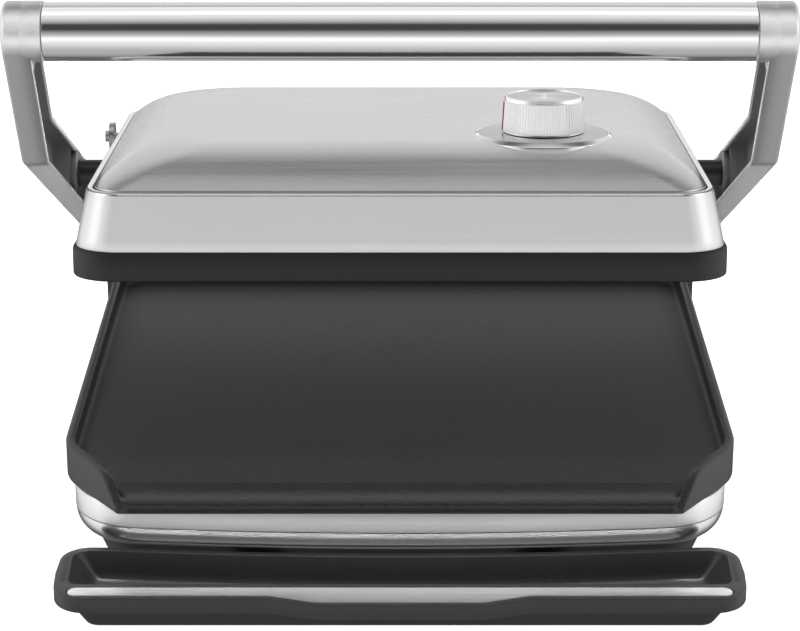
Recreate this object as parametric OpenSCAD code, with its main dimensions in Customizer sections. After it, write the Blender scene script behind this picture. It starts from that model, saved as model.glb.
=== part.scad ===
// Electric indoor contact grill: flat lower plate with a pouring lip, a domed lid that floats
// between two cast arms, a tubular handle, and a drip tray in front.
// X runs to the right, Y to the back, Z up. The table is at Z 0 and the object's middle at X 0.

/* [Lower plate] */
// Width of the lower plate
plate_w = 328; // [318:1:329]
// Distance from the plate's shoulder to its back edge
plate_back = 256; // [235:1:258]
// Distance from the shoulder forward to the mouth
mouth_reach = 52.5; // [44:0.5:56]
// Radius of the shoulder's round corner
shoulder_r = 36; // [28:1:44]
// Angle at which the sides draw in to the mouth
shoulder_angle = 35.3; // [30:0.1:40]
// Radius of the plate's back corners
plate_rear_r = 22; // [10:1:30]
// Thickness of the plate
plate_t = 5; // [4:0.5:6]
// Rise of the rim above the cooking surface
rim_rise = 10; // [7:0.5:12]
// Thickness of the rim
rim_t = 4.5; // [3:0.5:6]
// Radius of the rounded lip at the mouth
nose_r = 5.5; // [4:0.5:6]

/* [Base] */
// How far the steel band lies inside the plate at each side
base_in = 4.5; // [4:0.5:8]
// How far the band's middle lies in front of the shoulder
base_front = 48.5; // [44:0.5:50]
// How much the band's front bows forward
base_bow = 5.7; // [3:0.1:8]
// Corner radius of the band
base_corner_r = 35; // [28:1:40]
// How far the base goes on behind the plate's back edge
base_over = 1; // [0.5:0.5:2]
// Height of the straight part of the band
band_h = 12; // [9:0.5:14]
// Height of the polished undercut below it
bevel_h = 12; // [8:0.5:13]
// How far the undercut draws in
bevel_in = 9; // [8:0.5:11]
// Sheet thickness of the band
band_t = 1.2; // [0.8:0.1:2]
// Wall thickness of the pan
pan_t = 2.4; // [2:0.1:3]
// Height of the feet
foot_h = 6.5; // [5.5:0.5:8]
// Radius of a foot
foot_r = 10; // [8:0.5:13]

/* [Rear housing] */
// Depth of the housing behind the plate
housing_d = 26.5; // [24:0.5:40]
// Height of the housing's top above the table
housing_top = 60; // [50:1:61]
// Wall thickness of the housing
housing_t = 2.5; // [2:0.1:3.5]
// Number of vent slots in the back
vent_count = 9; // [4:1:12]

/* [Hinge] */
// Distance of the hinge axis behind the plate's back edge
hinge_behind = 6; // [5:0.5:10]
// Height of the hinge axis
hinge_z = 93.4; // [92:0.2:96]
// Thickness of a hinge bracket
bracket_t = 5; // [4:0.5:5.5]
// Radius of a bracket's eye
eye_r = 14; // [12:0.5:15]
// Radius of the bush where it turns in the bracket
bush_r = 7; // [5:0.5:8]

/* [Arms] */
// Gap between the plate's side and an arm
arm_gap = 7.5; // [7:0.5:12]
// Depth of an arm across its thickness
arm_depth = 13.5; // [12:0.5:14]
// Width of an arm above its elbow
arm_upper_w = 28.4; // [26:0.2:30]
// Width of an arm below its elbow
arm_lower_w = 26.9; // [25:0.1:30]
// Thickness of an arm's walls
arm_wall = 3; // [2:0.5:4]
// Distance of the elbow behind the shoulder
elbow_y = 50.3; // [46:0.1:54]
// Height of the elbow
elbow_z = 197.6; // [192:0.2:203]
// Distance of the handle's axis behind the shoulder
handle_y = 6.6; // [0:0.2:12]
// Height of the handle's axis
handle_z = 263.4; // [255:0.2:272]
// Radius of the handle tube
tube_r = 13.8; // [12:0.1:14]
// Wall of the handle tube
tube_t = 1.5; // [1:0.1:2]
// Length of an arm's cast end beside the handle tube
cast_end = 19.2; // [19:0.2:22]

/* [Lid] */
// How far the lid lies inside the plate at each side
lid_in = 2.5; // [2.5:0.5:8]
// How much shorter than the plate the lid is
lid_short = 0; // [0:1:8]
// Corner radius of the rim
lid_corner_r = 21.5; // [18:0.5:26]
// Nose-up tilt of the lid at rest
lid_tilt = 6.4; // [5:0.1:7]
// Distance of the lid's pivot behind its middle
pivot_off = 1.1; // [-2:0.1:4]
// Height of the lid's pivot above its rim
pivot_h = 29; // [27:0.5:31]
// Distance of the pivot from the hinge axis
pivot_reach = 128.7; // [127:0.1:130]
// Radius of the pivot shafts
shaft_r = 7; // [6:0.5:7.5]
// Height of the black rim
rim_h = 14.3; // [13:0.1:15]
// Height of the silver band's lip above the rim's bottom
lip_h = 43; // [42:0.5:46]
// How far the band draws in at its foot
band_foot_in = 1.6; // [1:0.1:2]
// How far the band draws in at its lip
band_lip_in = 8; // [7:0.1:9]
// Width of the lip on the band's top
lip_w = 2.3; // [2:0.1:3]
// Gap between the lip and the domed panel
panel_gap = 0.8; // [0.6:0.1:1]
// Rise of the dome above the lip
dome_rise = 18.5; // [15:0.5:21]
// Width of the dome's rounded edge
dome_edge = 42; // [36:1:52]
// Sheet thickness of the panel and band
sheet_t = 1.2; // [1:0.1:1.5]

/* [Upper plate] */
// Number of ribs on the upper plate
rib_count = 17; // [11:1:19]
// Depth of the ribs
rib_h = 6.8; // [5:0.2:7]
// How far the upper plate lies inside the rim
upper_in = 13; // [12:0.5:14]

/* [Elements] */
// Radius of the heating rods
rod_r = 3.3; // [2.5:0.1:3.3]
// Spacing of the rods' straight runs
rod_pitch = 62; // [58:1:64]
// Distance from the plate's side to the ends of the straight runs
rod_margin = 69; // [66:1:79]

/* [Dial] */
// Distance of the dial's axis from the lid's right side
dial_in = 89; // [85:0.5:95.5]
// Distance of the dial behind the lid's front edge
dial_s = 66; // [64:0.5:68]
// Radius of the knob at its foot
knob_r = 21.5; // [18:0.5:23]
// Height of the knob
knob_h = 18.3; // [15:0.1:21]
// Number of flutes on the knob
flute_count = 64; // [40:1:72]
// Radius of the dial ring
ring_r = 35.5; // [31:0.5:37]
// Radius of the thermostat's spindle
spindle_r = 3; // [2.5:0.1:3.5]

/* [Drip tray] */
// How far the tray stands out past the plate at each side
tray_over = 0; // [-5:0.5:3]
// Distance of the tray's front edge in front of the shoulder
tray_front = 88.9; // [86:0.5:94]
// How far the finger grip stands out in front of it
grip_out = 6.8; // [4:0.2:9]
// Half width of the finger grip
grip_half = 40; // [30:1:50]
// Height of the tray's top edge
tray_top = 17.1; // [15:0.1:18]
// Height of the flange that the tray is gripped by
flange_h = 8.3; // [6:0.1:9]
// Width of the flange in front of the cavity
flange_w = 14.5; // [13:0.5:16]
// Width of the tray's back edge
edge_w = 4; // [3:0.2:5]
// Width of the tray's side edges
edge_side = 5.5; // [4:0.5:7]

/* [Hidden] */
$fn = 64;
arc_fn = 360;           // for the long shallow bows
hull_fn = 32;           // for hull children
slack = 0.3;            // gap between pieces that only lie together
fit = 0.05;             // radial gap of a turning fit
eps = 0.01;

// sizes that follow from the plate's
base_w = plate_w - 2 * base_in;
base_back = plate_back + base_over;
hinge_y = plate_back + hinge_behind;
arms_w = plate_w + 2 * (arm_gap + arm_depth);
tube_len = arms_w - 2 * cast_end;
lid_w = plate_w - 2 * lid_in;
dial_x = lid_w / 2 - dial_in;
lid_d = plate_back - lid_short;
pivot_s = lid_d / 2 + pivot_off;
rod_run = plate_w - 2 * rod_margin;
tray_w = plate_w + 2 * tray_over;

// heights of the base, from the table up
pan_floor = foot_h;
bevel_z = 19;                             // lower edge of the undercut
line_z = bevel_z + bevel_h;               // where undercut and band meet
band_top = line_z + band_h;
skirt_z = band_top + slack;                // underside of the plate's skirt
surface_z = skirt_z + 8.9;                // cooking surface
under_z = surface_z - plate_t;            // the plate's underside
plate_top = surface_z + rim_rise;
pan_in = bevel_in + slack;               // how far the pan's wall lies inside the band
pan_top = band_top - 7;

// places in front and behind, which set where the middle of the object is
front_y = -(tray_front + grip_out);
housing_y = base_back + 0.5;
housing_back = housing_y + housing_d;
gland_out = 2.7;
mid_y = (front_y + housing_back + gland_out) / 2;

// the lower plate's outline
shoulder_x = plate_w / 2 - shoulder_r;
draw_in = (mouth_reach - shoulder_r * sin(shoulder_angle)) * tan(shoulder_angle);
mouth_x = shoulder_x + shoulder_r * cos(shoulder_angle) - draw_in;
lip_x = mouth_x - rim_t * 0.8;

// arms
arm_x = arms_w / 2;
arm_in = arm_x - arm_depth;               // inner face of an arm
elbow_dir = atan2(elbow_z - hinge_z, hinge_y - elbow_y);
cap_r = tube_r + 0.6;
web_x = arm_x - arm_wall;
pivot_y = hinge_y - pivot_reach * cos(elbow_dir);
pivot_z = hinge_z + pivot_reach * sin(elbow_dir);
hub_r = arm_lower_w / 2 + 1.5;
boss_r = 12;
boss_x = arm_in - 1;                      // inner face of the pivot's boss
bracket_x = arm_in - 1 - bracket_t;       // inner face of a bracket
housing_w = 2 * (bracket_x - slack);

// lid, in its own frame: s back from the front edge, h up from the rim's bottom
frame_h = rim_h + slack;                  // underside of the steel frame
frame_t = 1.5;
ledge_in = 12;                            // width of the rim's inner ledge
ledge_t = 2.5;
flange_top = rim_h - ledge_t - slack;     // top of the upper plate's flange
upper_bottom = 1;
upper_top = upper_bottom + plate_t;       // back of the upper plate
shield_h = frame_h + frame_t + slack;
cheek_x = lid_w / 2 - 15.5;               // the frame's upright cheeks
dome_base = lip_h + 0.6;                  // top of the panel's upright edge
panel_in = band_lip_in + lip_w + panel_gap;
panel_deep = band_lip_in * 0.65 + lip_w + panel_gap;
panel_r = lid_corner_r - band_lip_in * 0.25 - lip_w - panel_gap;
dome_top = lip_h + dome_rise;
ring_h = dome_top + 0.25;
knob_base = ring_h + 1.1;
rod_h = upper_top + slack + rod_r;
stop_s = 232;
stop_h = 30;

// rib and rod layout
rod_first = 38;
clamp_w = 12;
clamp_t = 1.2;

// posts that carry the lower plate
post_x = plate_w / 2 - 28;
post_ys = [12, 126, 238];

steel = "gainsboro";
cast = "silver";
black = [0.16, 0.16, 0.17];
nonstick = [0.22, 0.23, 0.235];
zinc = [0.62, 0.62, 0.63];

// ---- shared shapes ----

// Rectangle with true round corners, in the middle of the sheet
module round_rect(w, d, r) {
    square([w - 2 * r, d], center = true);
    square([w, d - 2 * r], center = true);
    for (sx = [-1, 1], sy = [-1, 1])
        translate([sx * (w / 2 - r), sy * (d / 2 - r)]) circle(r);
}

// The same at a place set by its front and back
module plan_rect(w, front, back, r) {
    translate([0, (front + back) / 2]) round_rect(w, back - front, r);
}

// Outline of the base: straight sides, a bowed front and round front corners, drawn in by t
module base_outline(t) {
    x = base_w / 2 - base_corner_r;
    big = (x * x + base_bow * base_bow) / (2 * base_bow);
    cy = big - base_front;
    near = cy - sqrt(pow(big - base_corner_r, 2) - x * x);
    reach = 2 * base_corner_r / (big - base_corner_r);
    for (sx = [-1, 1]) translate([sx * x, near]) circle(base_corner_r - t);
    translate([-base_w / 2 + t, near]) square([base_w - 2 * t, base_back - t - near]);
    intersection() {
        translate([0, cy]) circle(big - t, $fn = arc_fn);
        polygon([[0, near + 5], [x, near], [x * (1 + reach), near - (cy - near) * reach],
                 [-x * (1 + reach), near - (cy - near) * reach], [-x, near]]);
    }
}

// Outline of the lower plate, drawn in by t
module plate_outline(t) {
    r = shoulder_r - t;
    a = shoulder_angle;
    turn = [shoulder_x + r * cos(a), -r * sin(a)];
    run = (mouth_reach - r * sin(a)) / cos(a);
    tip = [turn[0] - run * sin(a), -mouth_reach];
    back = plate_back - plate_rear_r;
    for (sx = [-1, 1]) {
        translate([sx * shoulder_x, 0]) circle(r);
        translate([sx * (plate_w / 2 - plate_rear_r), back]) circle(plate_rear_r - t);
    }
    translate([-plate_w / 2 + t, 0]) square([plate_w - 2 * t, back]);
    translate([-plate_w / 2 + plate_rear_r, back - eps])
        square([plate_w - 2 * plate_rear_r, plate_rear_r - t + eps]);
    polygon([[shoulder_x, 0], turn, tip, [-tip[0], tip[1]], [-turn[0], turn[1]],
             [-shoulder_x, 0]]);
}

// Outline of the lid, drawn in by t
module lid_outline(t) {
    plan_rect(lid_w - 2 * t, t, lid_d - t, lid_corner_r - t * 0.5);
}

// Outline of the silver band at draft t, with its wall drawn in by a further w. The draft is
// steeper at the front and back than at the sides.
module band_outline(t, w) {
    deep = t * 0.65 + w;
    plan_rect(lid_w - 2 * (t + w), deep, lid_d - deep, lid_corner_r - t * 0.25 - w);
}

// A thin layer at height z, as a hull's child
module layer(z) {
    translate([0, 0, z]) linear_extrude(eps) children();
}

// Places its children in the lid's frame
module on_lid() {
    translate([0, pivot_y, pivot_z]) rotate([-lid_tilt, 0, 0])
        translate([0, -pivot_s, -pivot_h]) children();
}

// Cylinder along X from x0 to x1
module x_rod(x0, x1, r) {
    translate([min(x0, x1), 0, 0]) rotate([0, 90, 0]) cylinder(h = abs(x1 - x0), r = r);
}

// Left pieces are the right ones mirrored
module side(s) {
    if (s > 0) children();
    else mirror([1, 0, 0]) children();
}

// Heating rod: four straight runs joined by bends, with two terminal pins. Runs start at y0.
module heating_rod(y0, z) {
    half = rod_run / 2;
    bend_r = rod_pitch / 2;
    for (i = [0:3]) translate([-half, y0 + i * rod_pitch, z]) x_rod(0, rod_run, rod_r);
    for (i = [0:2]) {
        right = i % 2 == 0;
        translate([right ? half : -half, y0 + (i + 0.5) * rod_pitch, z])
            rotate([0, 0, right ? -90 : 90])
            rotate_extrude(angle = 180) translate([bend_r, 0]) circle(rod_r);
    }
    for (i = [0, 3]) translate([-half, y0 + i * rod_pitch, z]) {
        x_rod(-18, 0, rod_r);
        x_rod(-30, -18, 1.6);
    }
}

// Clamp strips across the rods. side is 1 if the plate lies above them and -1 if below.
module clamp_strips(y0, z, up) {
    length = 3 * rod_pitch + 24;
    lift = rod_r + slack;
    for (x = [-rod_run / 2 + 3, 0, rod_run / 2 + 1]) translate([x - clamp_w / 2, y0 - 12, 0]) {
        translate([0, 0, up > 0 ? z - lift - clamp_t : z + lift])
            cube([clamp_w, length, clamp_t]);
        for (y = [0, length - clamp_t]) translate([0, y, up > 0 ? z - lift - clamp_t : z - lift])
            cube([clamp_w, clamp_t, 2 * lift + clamp_t]);
    }
}

// Round-headed screw along Z: head below, shank up
module screw(head_r, head_h, shank_r, shank_h) {
    difference() {
        cylinder(h = head_h, r = head_r);
        translate([0, 0, -eps]) cylinder(h = head_h * 0.5, r = head_r * 0.35, $fn = 6);
    }
    translate([0, 0, head_h - eps]) cylinder(h = shank_h + eps, r = shank_r);
}

// ---- base ----

// Places for the posts that carry the plate
module at_posts() {
    for (sx = [-1, 1], y = post_ys) translate([sx * post_x, y, 0]) children();
}

foot_x = base_w / 2 - 38;
foot_ys = [2, base_back - 18];
module at_feet() {
    for (sx = [-1, 1], y = foot_ys) translate([sx * foot_x, y, 0]) children();
}

tongue_x = 70;
tongue_w = 24;
tongue_top = foot_h - 0.6;
tongue_t = 2;
tongue_len = 26;
head_z = surface_z - plate_t - 16.8;     // underside of the plate screws' heads
shelf_top = pan_floor + pan_t;

module pan_body() {
    hull() {
        layer(pan_floor) base_outline(pan_in + 5, $fn = hull_fn);
        layer(bevel_z) base_outline(pan_in);
    }
    translate([0, 0, bevel_z]) linear_extrude(pan_top - bevel_z) base_outline(pan_in);
}

module pan_cavity() {
    hull() {
        layer(pan_floor + pan_t) base_outline(pan_in + 5 + pan_t);
        layer(bevel_z) base_outline(pan_in + pan_t);
    }
    translate([0, 0, bevel_z]) linear_extrude(pan_top) base_outline(pan_in + pan_t);
}

shelf_x = base_w / 2 - 2;
// Two L-shaped guides under the floor for one tongue of the tray
module tongue_guide() {
    wall = 2.5;
    drop = tongue_top - tongue_t - slack;
    front = -base_front + pan_in + 9;
    for (sx = [-1, 1]) translate([sx * (tongue_w / 2 + slack + wall / 2), front, 0]) {
        translate([-wall / 2, 0, drop - 2]) cube([wall, tongue_len - 6, foot_h - drop + 2 + eps]);
        translate([-wall / 2 - (sx > 0 ? 3 : 0), 0, drop - 2])
            cube([wall + 3, tongue_len - 6, 2]);
    }
}

module base_pan() {
    color(black) difference() {
        union() {
            difference() {
                pan_body();
                pan_cavity();
            }
            at_posts() {
                translate([0, 0, pan_floor]) cylinder(h = 34 - pan_floor, r = 8.5);
                translate([0, 0, pan_floor]) cylinder(h = skirt_z - slack - pan_floor, r = 5.8);
            }
            translate([-shelf_x, base_back - pan_in - 10, pan_floor])
                cube([2 * shelf_x, pan_in + 12, pan_t]);
            translate([-housing_w / 2, housing_y, pan_floor])
                cube([housing_w, housing_d, pan_t]);
            for (sx = [-1, 1]) translate([sx * tongue_x, 0, 0]) tongue_guide();
        }
        at_posts() {
            translate([0, 0, pan_floor - eps]) cylinder(h = head_z + 2.6 - pan_floor, r = 4.3);
            cylinder(h = skirt_z, r = 1.8);
        }
        at_feet() cylinder(h = shelf_top + 5, r = 3.2);
        for (sx = [-1, 1]) translate([sx * housing_screw_x, housing_screw_y, 0])
            cylinder(h = shelf_top + 5, r = 2.2);
    }
}

// Points along the base's outline at inset t and height z, from the left side's back end round
// the front to the right side's
arc_steps = 9;
bow_steps = 12;
function base_ring(t, z) =
    let (x = base_w / 2 - base_corner_r,
         big = (x * x + base_bow * base_bow) / (2 * base_bow),
         cy = big - base_front,
         near = cy - sqrt(pow(big - base_corner_r, 2) - x * x),
         lean = asin(x / (big - base_corner_r)),
         r = base_corner_r - t)
    concat(
        [[-base_w / 2 + t, base_back - 6, z]],
        [for (i = [0:arc_steps]) let (a = 180 + (90 - lean) * i / arc_steps)
            [-x + r * cos(a), near + r * sin(a), z]],
        [for (i = [1:bow_steps - 1]) let (a = 270 - lean + 2 * lean * i / bow_steps)
            [(big - t) * cos(a), cy + (big - t) * sin(a), z]],
        [for (i = [0:arc_steps]) let (a = 270 + lean + (90 - lean) * i / arc_steps)
            [x + r * cos(a), near + r * sin(a), z]],
        [[base_w / 2 - t, base_back - 6, z]]);

// Strip between the rows of points outer and inner, each listed from the bottom up, with its
// two ends closed
module strip(outer, inner) {
    n = len(outer[0]);
    rows = len(outer);
    points = concat([for (row = outer, p = row) p],
                    [for (k = [rows - 1:-1:0], p = inner[k]) p]);
    last = 2 * rows - 1;
    walls = [for (k = [0:last], i = [0:n - 2])
        let (a = k * n + i, next = (k + 1) % (2 * rows) * n + i)
        each [[a, next + 1, a + 1], [a, next, next + 1]]];
    ends = [for (k = [0:rows - 2])
        let (a = k * n, b = a + n, c = (last - k - 1) * n, d = c + n, m = n - 1)
        each [[a, d, c], [a, c, b], [a + m, c + m, d + m], [a + m, b + m, c + m]]];
    polyhedron(points, concat(walls, ends));
}

// Steel band round the front and sides, which rolls under to its lower edge
module base_band() {
    roll = [for (i = [0:5]) let (a = 90 * i / 5)
        [bevel_in * (1 - sin(a)), bevel_z + bevel_h * (1 - cos(a))]];
    outer = concat([for (p = roll) base_ring(p[0], p[1])], [base_ring(0, band_top)]);
    inner = concat([for (i = [0:5]) base_ring(roll[i][0] + band_t * sin(18 * i),
                                              roll[i][1] + band_t * cos(18 * i))],
                   [base_ring(band_t, band_top)]);
    color(steel) strip(outer, inner);
}

module plate_rim() {
    drop = rim_rise + 6;
    fall = concat([[-mouth_reach + 26, plate_top + 1]],
                  [for (p = [[24.5, 0], [16.5, 0.02], [11.5, 0.12], [7.5, 0.37], [4, 0.69], [0, 1]])
                      [-mouth_reach + p[0], plate_top - drop * p[1]]],
                  [[-mouth_reach - 9, plate_top - drop], [-mouth_reach - 9, plate_top + 1]]);
    difference() {
        translate([0, 0, skirt_z]) linear_extrude(plate_top - skirt_z) difference() {
            plate_outline(0);
            plate_outline(rim_t);
            translate([-lip_x, -mouth_reach - 20]) square([2 * lip_x, 60]);
        }
        rotate([90, 0, 90]) translate([0, 0, -plate_w / 2])
            linear_extrude(plate_w) polygon(fall);
    }
}

module lower_plate() {
    nose_y = -mouth_reach + nose_r;
    color(nonstick) difference() {
        union() {
            translate([0, 0, under_z]) linear_extrude(plate_t) intersection() {
                plate_outline(rim_t / 2);
                translate([-plate_w, nose_y]) square([2 * plate_w, 400]);
            }
            plate_rim();
            translate([0, nose_y, surface_z - nose_r]) x_rod(-lip_x - 1, lip_x + 1, nose_r);
            translate([-lip_x - 1, nose_y, surface_z - 2 * nose_r + 1.5])
                cube([2 * lip_x + 2, 4, 2 * nose_r - 2]);
            at_posts() translate([0, 0, skirt_z]) cylinder(h = under_z - skirt_z + 1, r = 5);
        }
        at_posts() translate([0, 0, skirt_z - 1]) cylinder(h = under_z - skirt_z + 2.8, r = 1.55);
        // clears the band's top edge
        translate([-plate_w, -base_front - slack, skirt_z - 10]) cube([2 * plate_w, 100, 10]);
    }
}

low_rod_z = under_z - slack - rod_r;
module lower_element() {
    color(zinc) heating_rod(rod_first - 8, low_rod_z);
}

module lower_element_clamps() {
    color(steel) clamp_strips(rod_first - 8, low_rod_z, 1);
}

module lower_heat_shield() {
    color(steel) translate([0, 0, 34 + slack]) linear_extrude(0.8) difference() {
        base_outline(pan_in + pan_t + 1.5);
        at_posts() circle(6.2);
    }
}

// Cut-out disc that lies against the lower plate
module thermal_cutout() {
    color(cast) translate([42, rod_first - 8 + 1.5 * rod_pitch, 0]) {
        translate([0, 0, under_z - slack - 9]) cylinder(h = 8, r = 8);
        translate([-14, -5, under_z - slack - 1.2]) cube([28, 10, 1.2]);
    }
}

housing_screw_x = housing_w / 2 - 40;
housing_screw_y = housing_y + housing_d / 2 + 3;
module base_screws() {
    color(zinc) {
        at_posts() translate([0, 0, head_z]) screw(3.8, 2.4, 1.5, under_z - head_z - 1);
        for (sx = [-1, 1]) translate([sx * housing_screw_x, housing_screw_y, pan_floor - 2.4])
            screw(3.8, 2.2, 1.8, pan_t + 7);
    }
}

module rear_housing() {
    bottom = shelf_top + slack;
    color(black) difference() {
        union() {
            difference() {
                translate([0, 0, bottom]) linear_extrude(housing_top - bottom)
                    plan_rect(housing_w, housing_y, housing_back, 5);
                translate([0, 0, bottom - 1])
                    linear_extrude(housing_top - housing_t - bottom + 1)
                    plan_rect(housing_w - 2 * housing_t, housing_y + housing_t,
                              housing_back - housing_t, 3);
            }
            for (sx = [-1, 1]) translate([sx * housing_screw_x, housing_screw_y, bottom])
                cylinder(h = housing_top - bottom - 1, r = 5);
        }
        for (i = [0:vent_count - 1]) {
            translate([(i - (vent_count - 1) / 2) * 12 + 50, housing_back - 6, housing_top - 28])
                cube([4, 12, 16]);
        }
        for (sx = [-1, 1]) translate([sx * housing_screw_x, housing_screw_y, 0])
            cylinder(h = bottom + 14, r = 1.85);
        translate([gland_x, housing_back + 1, gland_z]) rotate([90, 0, 0])
            cylinder(h = housing_t + 2, r = 7.6);
        for (sx = [-1, 1], z = bracket_zs)
            translate([sx * (housing_w / 2 - 8), bracket_mid, z]) x_rod(-9, 9, 1.7);
    }
}

gland_x = -100;
gland_z = 26;
// Gland for the mains lead, which the photograph doesn't show
module cord_gland() {
    color([0.1, 0.1, 0.1]) translate([gland_x, housing_back, gland_z]) rotate([-90, 0, 0])
        difference() {
            union() {
                translate([0, 0, slack]) cylinder(h = gland_out - slack, r = 10.5);
                translate([0, 0, -housing_t - 5]) cylinder(h = housing_t + 5 + 1, r = 7.4);
            }
            translate([0, 0, -20]) cylinder(h = 40, r = 3.6);
        }
}

pole_pitch = 14;
block_d = 13;
block_h = 16;
module terminal_block() {
    color("ivory") translate([gland_x + 40, housing_y + 6, shelf_top + slack]) difference() {
        cube([3 * pole_pitch + 2, block_d, block_h]);
        for (i = [0:2]) translate([1 + pole_pitch * (i + 0.5), block_d / 2, 6])
            cylinder(h = block_h, r = 2.6);
    }
}

module feet() {
    color([0.09, 0.09, 0.09]) at_feet() {
        cylinder(h = foot_h - slack, r = foot_r);
        cylinder(h = shelf_top + 2, r = 3);
    }
}

// ---- hinge ----

bracket_mid = hinge_y;
bracket_zs = [24, 46];
module hinge_bracket(s) {
    color(black) side(s) translate([bracket_x, 0, 0]) difference() {
        union() {
            translate([0, hinge_y, hinge_z]) x_rod(0, bracket_t, eye_r);
            translate([0, hinge_y - eye_r + 1, shelf_top + 1])
                cube([bracket_t, 2 * eye_r - 2, hinge_z - shelf_top - 1]);
        }
        translate([0, hinge_y, hinge_z]) x_rod(-1, bracket_t + 1, bush_r + fit);
        for (z = bracket_zs) translate([0, bracket_mid, z]) {
            x_rod(-1, bracket_t + 1, 2);
            x_rod(bracket_t - 2.4, bracket_t + 1, 4);
        }
    }
}

module bracket_screws() {
    color(zinc) for (s = [-1, 1], z = bracket_zs) side(s)
        translate([bracket_x + bracket_t, bracket_mid, z]) rotate([0, -90, 0])
        screw(3.6, 2.2, 1.6, 9);
}

// Stepped bush that turns in the bracket and carries the arm's hub
module hinge_bush(s) {
    color(zinc) side(s) translate([0, hinge_y, hinge_z]) {
        x_rod(bracket_x - 2.2, bracket_x - 0.2, bush_r + 2.5);
        x_rod(bracket_x - 0.3, bracket_x + bracket_t + 0.3, bush_r);
        x_rod(bracket_x + bracket_t + 0.2, web_x - 0.5, bush_r + 1);
    }
}

// ---- arms and handle ----

// An arm seen from the side, drawn in by t
module arm_outline(t) {
    upper = arm_upper_w / 2 - t;
    lower = arm_lower_w / 2 - t;
    top = [handle_y, handle_z];
    bend = [elbow_y, elbow_z];
    foot = [hinge_y, hinge_z];
    u = (bend - top) / norm(bend - top);
    v = (foot - bend) / norm(foot - bend);
    nu = [-u[1], u[0]];
    nv = [-v[1], v[0]];
    translate(top) circle(cap_r - t);
    translate(bend) circle(min(upper, lower));
    translate(foot) circle(hub_r - t);
    polygon([top + nu * upper, bend + nu * upper, bend - nu * upper, top - nu * upper]);
    polygon([bend + nv * lower, foot + nv * lower, foot - nv * lower, bend - nv * lower]);
    // fills the inner corner of the elbow
    mitre = (nu + nv) / norm(nu + nv);
    polygon([bend, bend + nu * upper, bend + mitre * upper / cos(elbow_half), bend + nv * lower]);
}
elbow_upper_dir = atan2(handle_z - elbow_z, elbow_y - handle_y);
elbow_half = (elbow_upper_dir - elbow_dir) / 2;

// Draws its children, which lie in the Y-Z sheet, from x0 to x1
module across(x0, x1) {
    translate([x0, 0, 0]) rotate([90, 0, 90]) linear_extrude(x1 - x0) children();
}

module arm(s) {
    pocket_top = [handle_y, handle_z];
    color(cast) side(s) difference() {
        union() {
            across(arm_in, arm_x) arm_outline(0);
            translate([0, handle_y, handle_z]) {
                x_rod(tube_len / 2 + slack, arm_in + 1, cap_r);
                x_rod(tube_len / 2 - 14, arm_in + 1, tube_r - tube_t - slack);
            }
            translate([0, pivot_y, pivot_z]) x_rod(boss_x, web_x, boss_r);
        }
        difference() {
            across(arm_in - 0.01, web_x) difference() {
                arm_outline(arm_wall);
                translate(pocket_top) circle(cap_r + 1.5);
                translate([pivot_y, pivot_z]) circle(boss_r);
                translate([hinge_y, hinge_z]) circle(hub_r);
            }
            // cross ribs inside the channel
            for (d = [0.30, 0.62]) translate([0, hinge_y + (elbow_y - hinge_y) * d,
                                              hinge_z + (elbow_z - hinge_z) * d])
                rotate([-elbow_dir, 0, 0]) translate([arm_in + 2, -1.2, -arm_lower_w / 2])
                cube([arm_depth, 2.4, arm_lower_w]);
        }
        translate([0, handle_y, handle_z]) x_rod(tube_len / 2 - 20, web_x - 4, 3.1);
        translate([0, pivot_y, pivot_z]) x_rod(boss_x - 1, web_x - 1, 5 + fit);
        translate([0, hinge_y, hinge_z]) x_rod(arm_in - 1, web_x - 0.2, bush_r + 1 + fit);
    }
}

module handle_tube() {
    color(steel) translate([0, handle_y, handle_z]) difference() {
        x_rod(-tube_len / 2, tube_len / 2, tube_r);
        x_rod(-tube_len / 2 - 1, tube_len / 2 + 1, tube_r - tube_t);
    }
}

module handle_tie_rod() {
    color(zinc) translate([0, handle_y, handle_z]) x_rod(-web_x + 4.5, web_x - 4.5, 3);
}

// Shaft from the arm's boss into the lid's bush, with a retaining head inside the lid
module pivot_shaft(s) {
    color([0.13, 0.13, 0.13]) side(s) translate([0, pivot_y, pivot_z]) {
        x_rod(boss_x - 0.3, web_x - 1.4, 5);
        x_rod(cheek_x - 6.2, boss_x - 0.2, shaft_r);
        x_rod(cheek_x - 9, cheek_x - 6.1, shaft_r + 2);
    }
}

// ---- lid ----

// Points round the panel at inset d and height h. Corners grow rounder towards the top.
panel_w = lid_w - 2 * panel_in;
panel_front = panel_deep;
panel_rear = lid_d - panel_deep;
corner_steps = 9;
function panel_ring(d, h) =
    let (r = panel_r + 24 * min(d, dome_edge) / dome_edge,
         x = panel_w / 2 - d - r,
         y0 = panel_front + d + r,
         y1 = panel_rear - d - r)
    [for (q = [0:3], i = [0:corner_steps])
        let (a = 90 * q + 90 * i / corner_steps,
             cx = (q == 0 || q == 3) ? x : -x,
             cy = q < 2 ? y1 : y0)
        [cx + r * cos(a), cy + r * sin(a), h]];

// Height of the dome's outside at inset d: a rounded edge that runs out flat
function dome_height(d) =
    dome_base + (dome_top - dome_base) * (1 - pow(1 - min(d / dome_edge, 1), 2.3));

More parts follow.
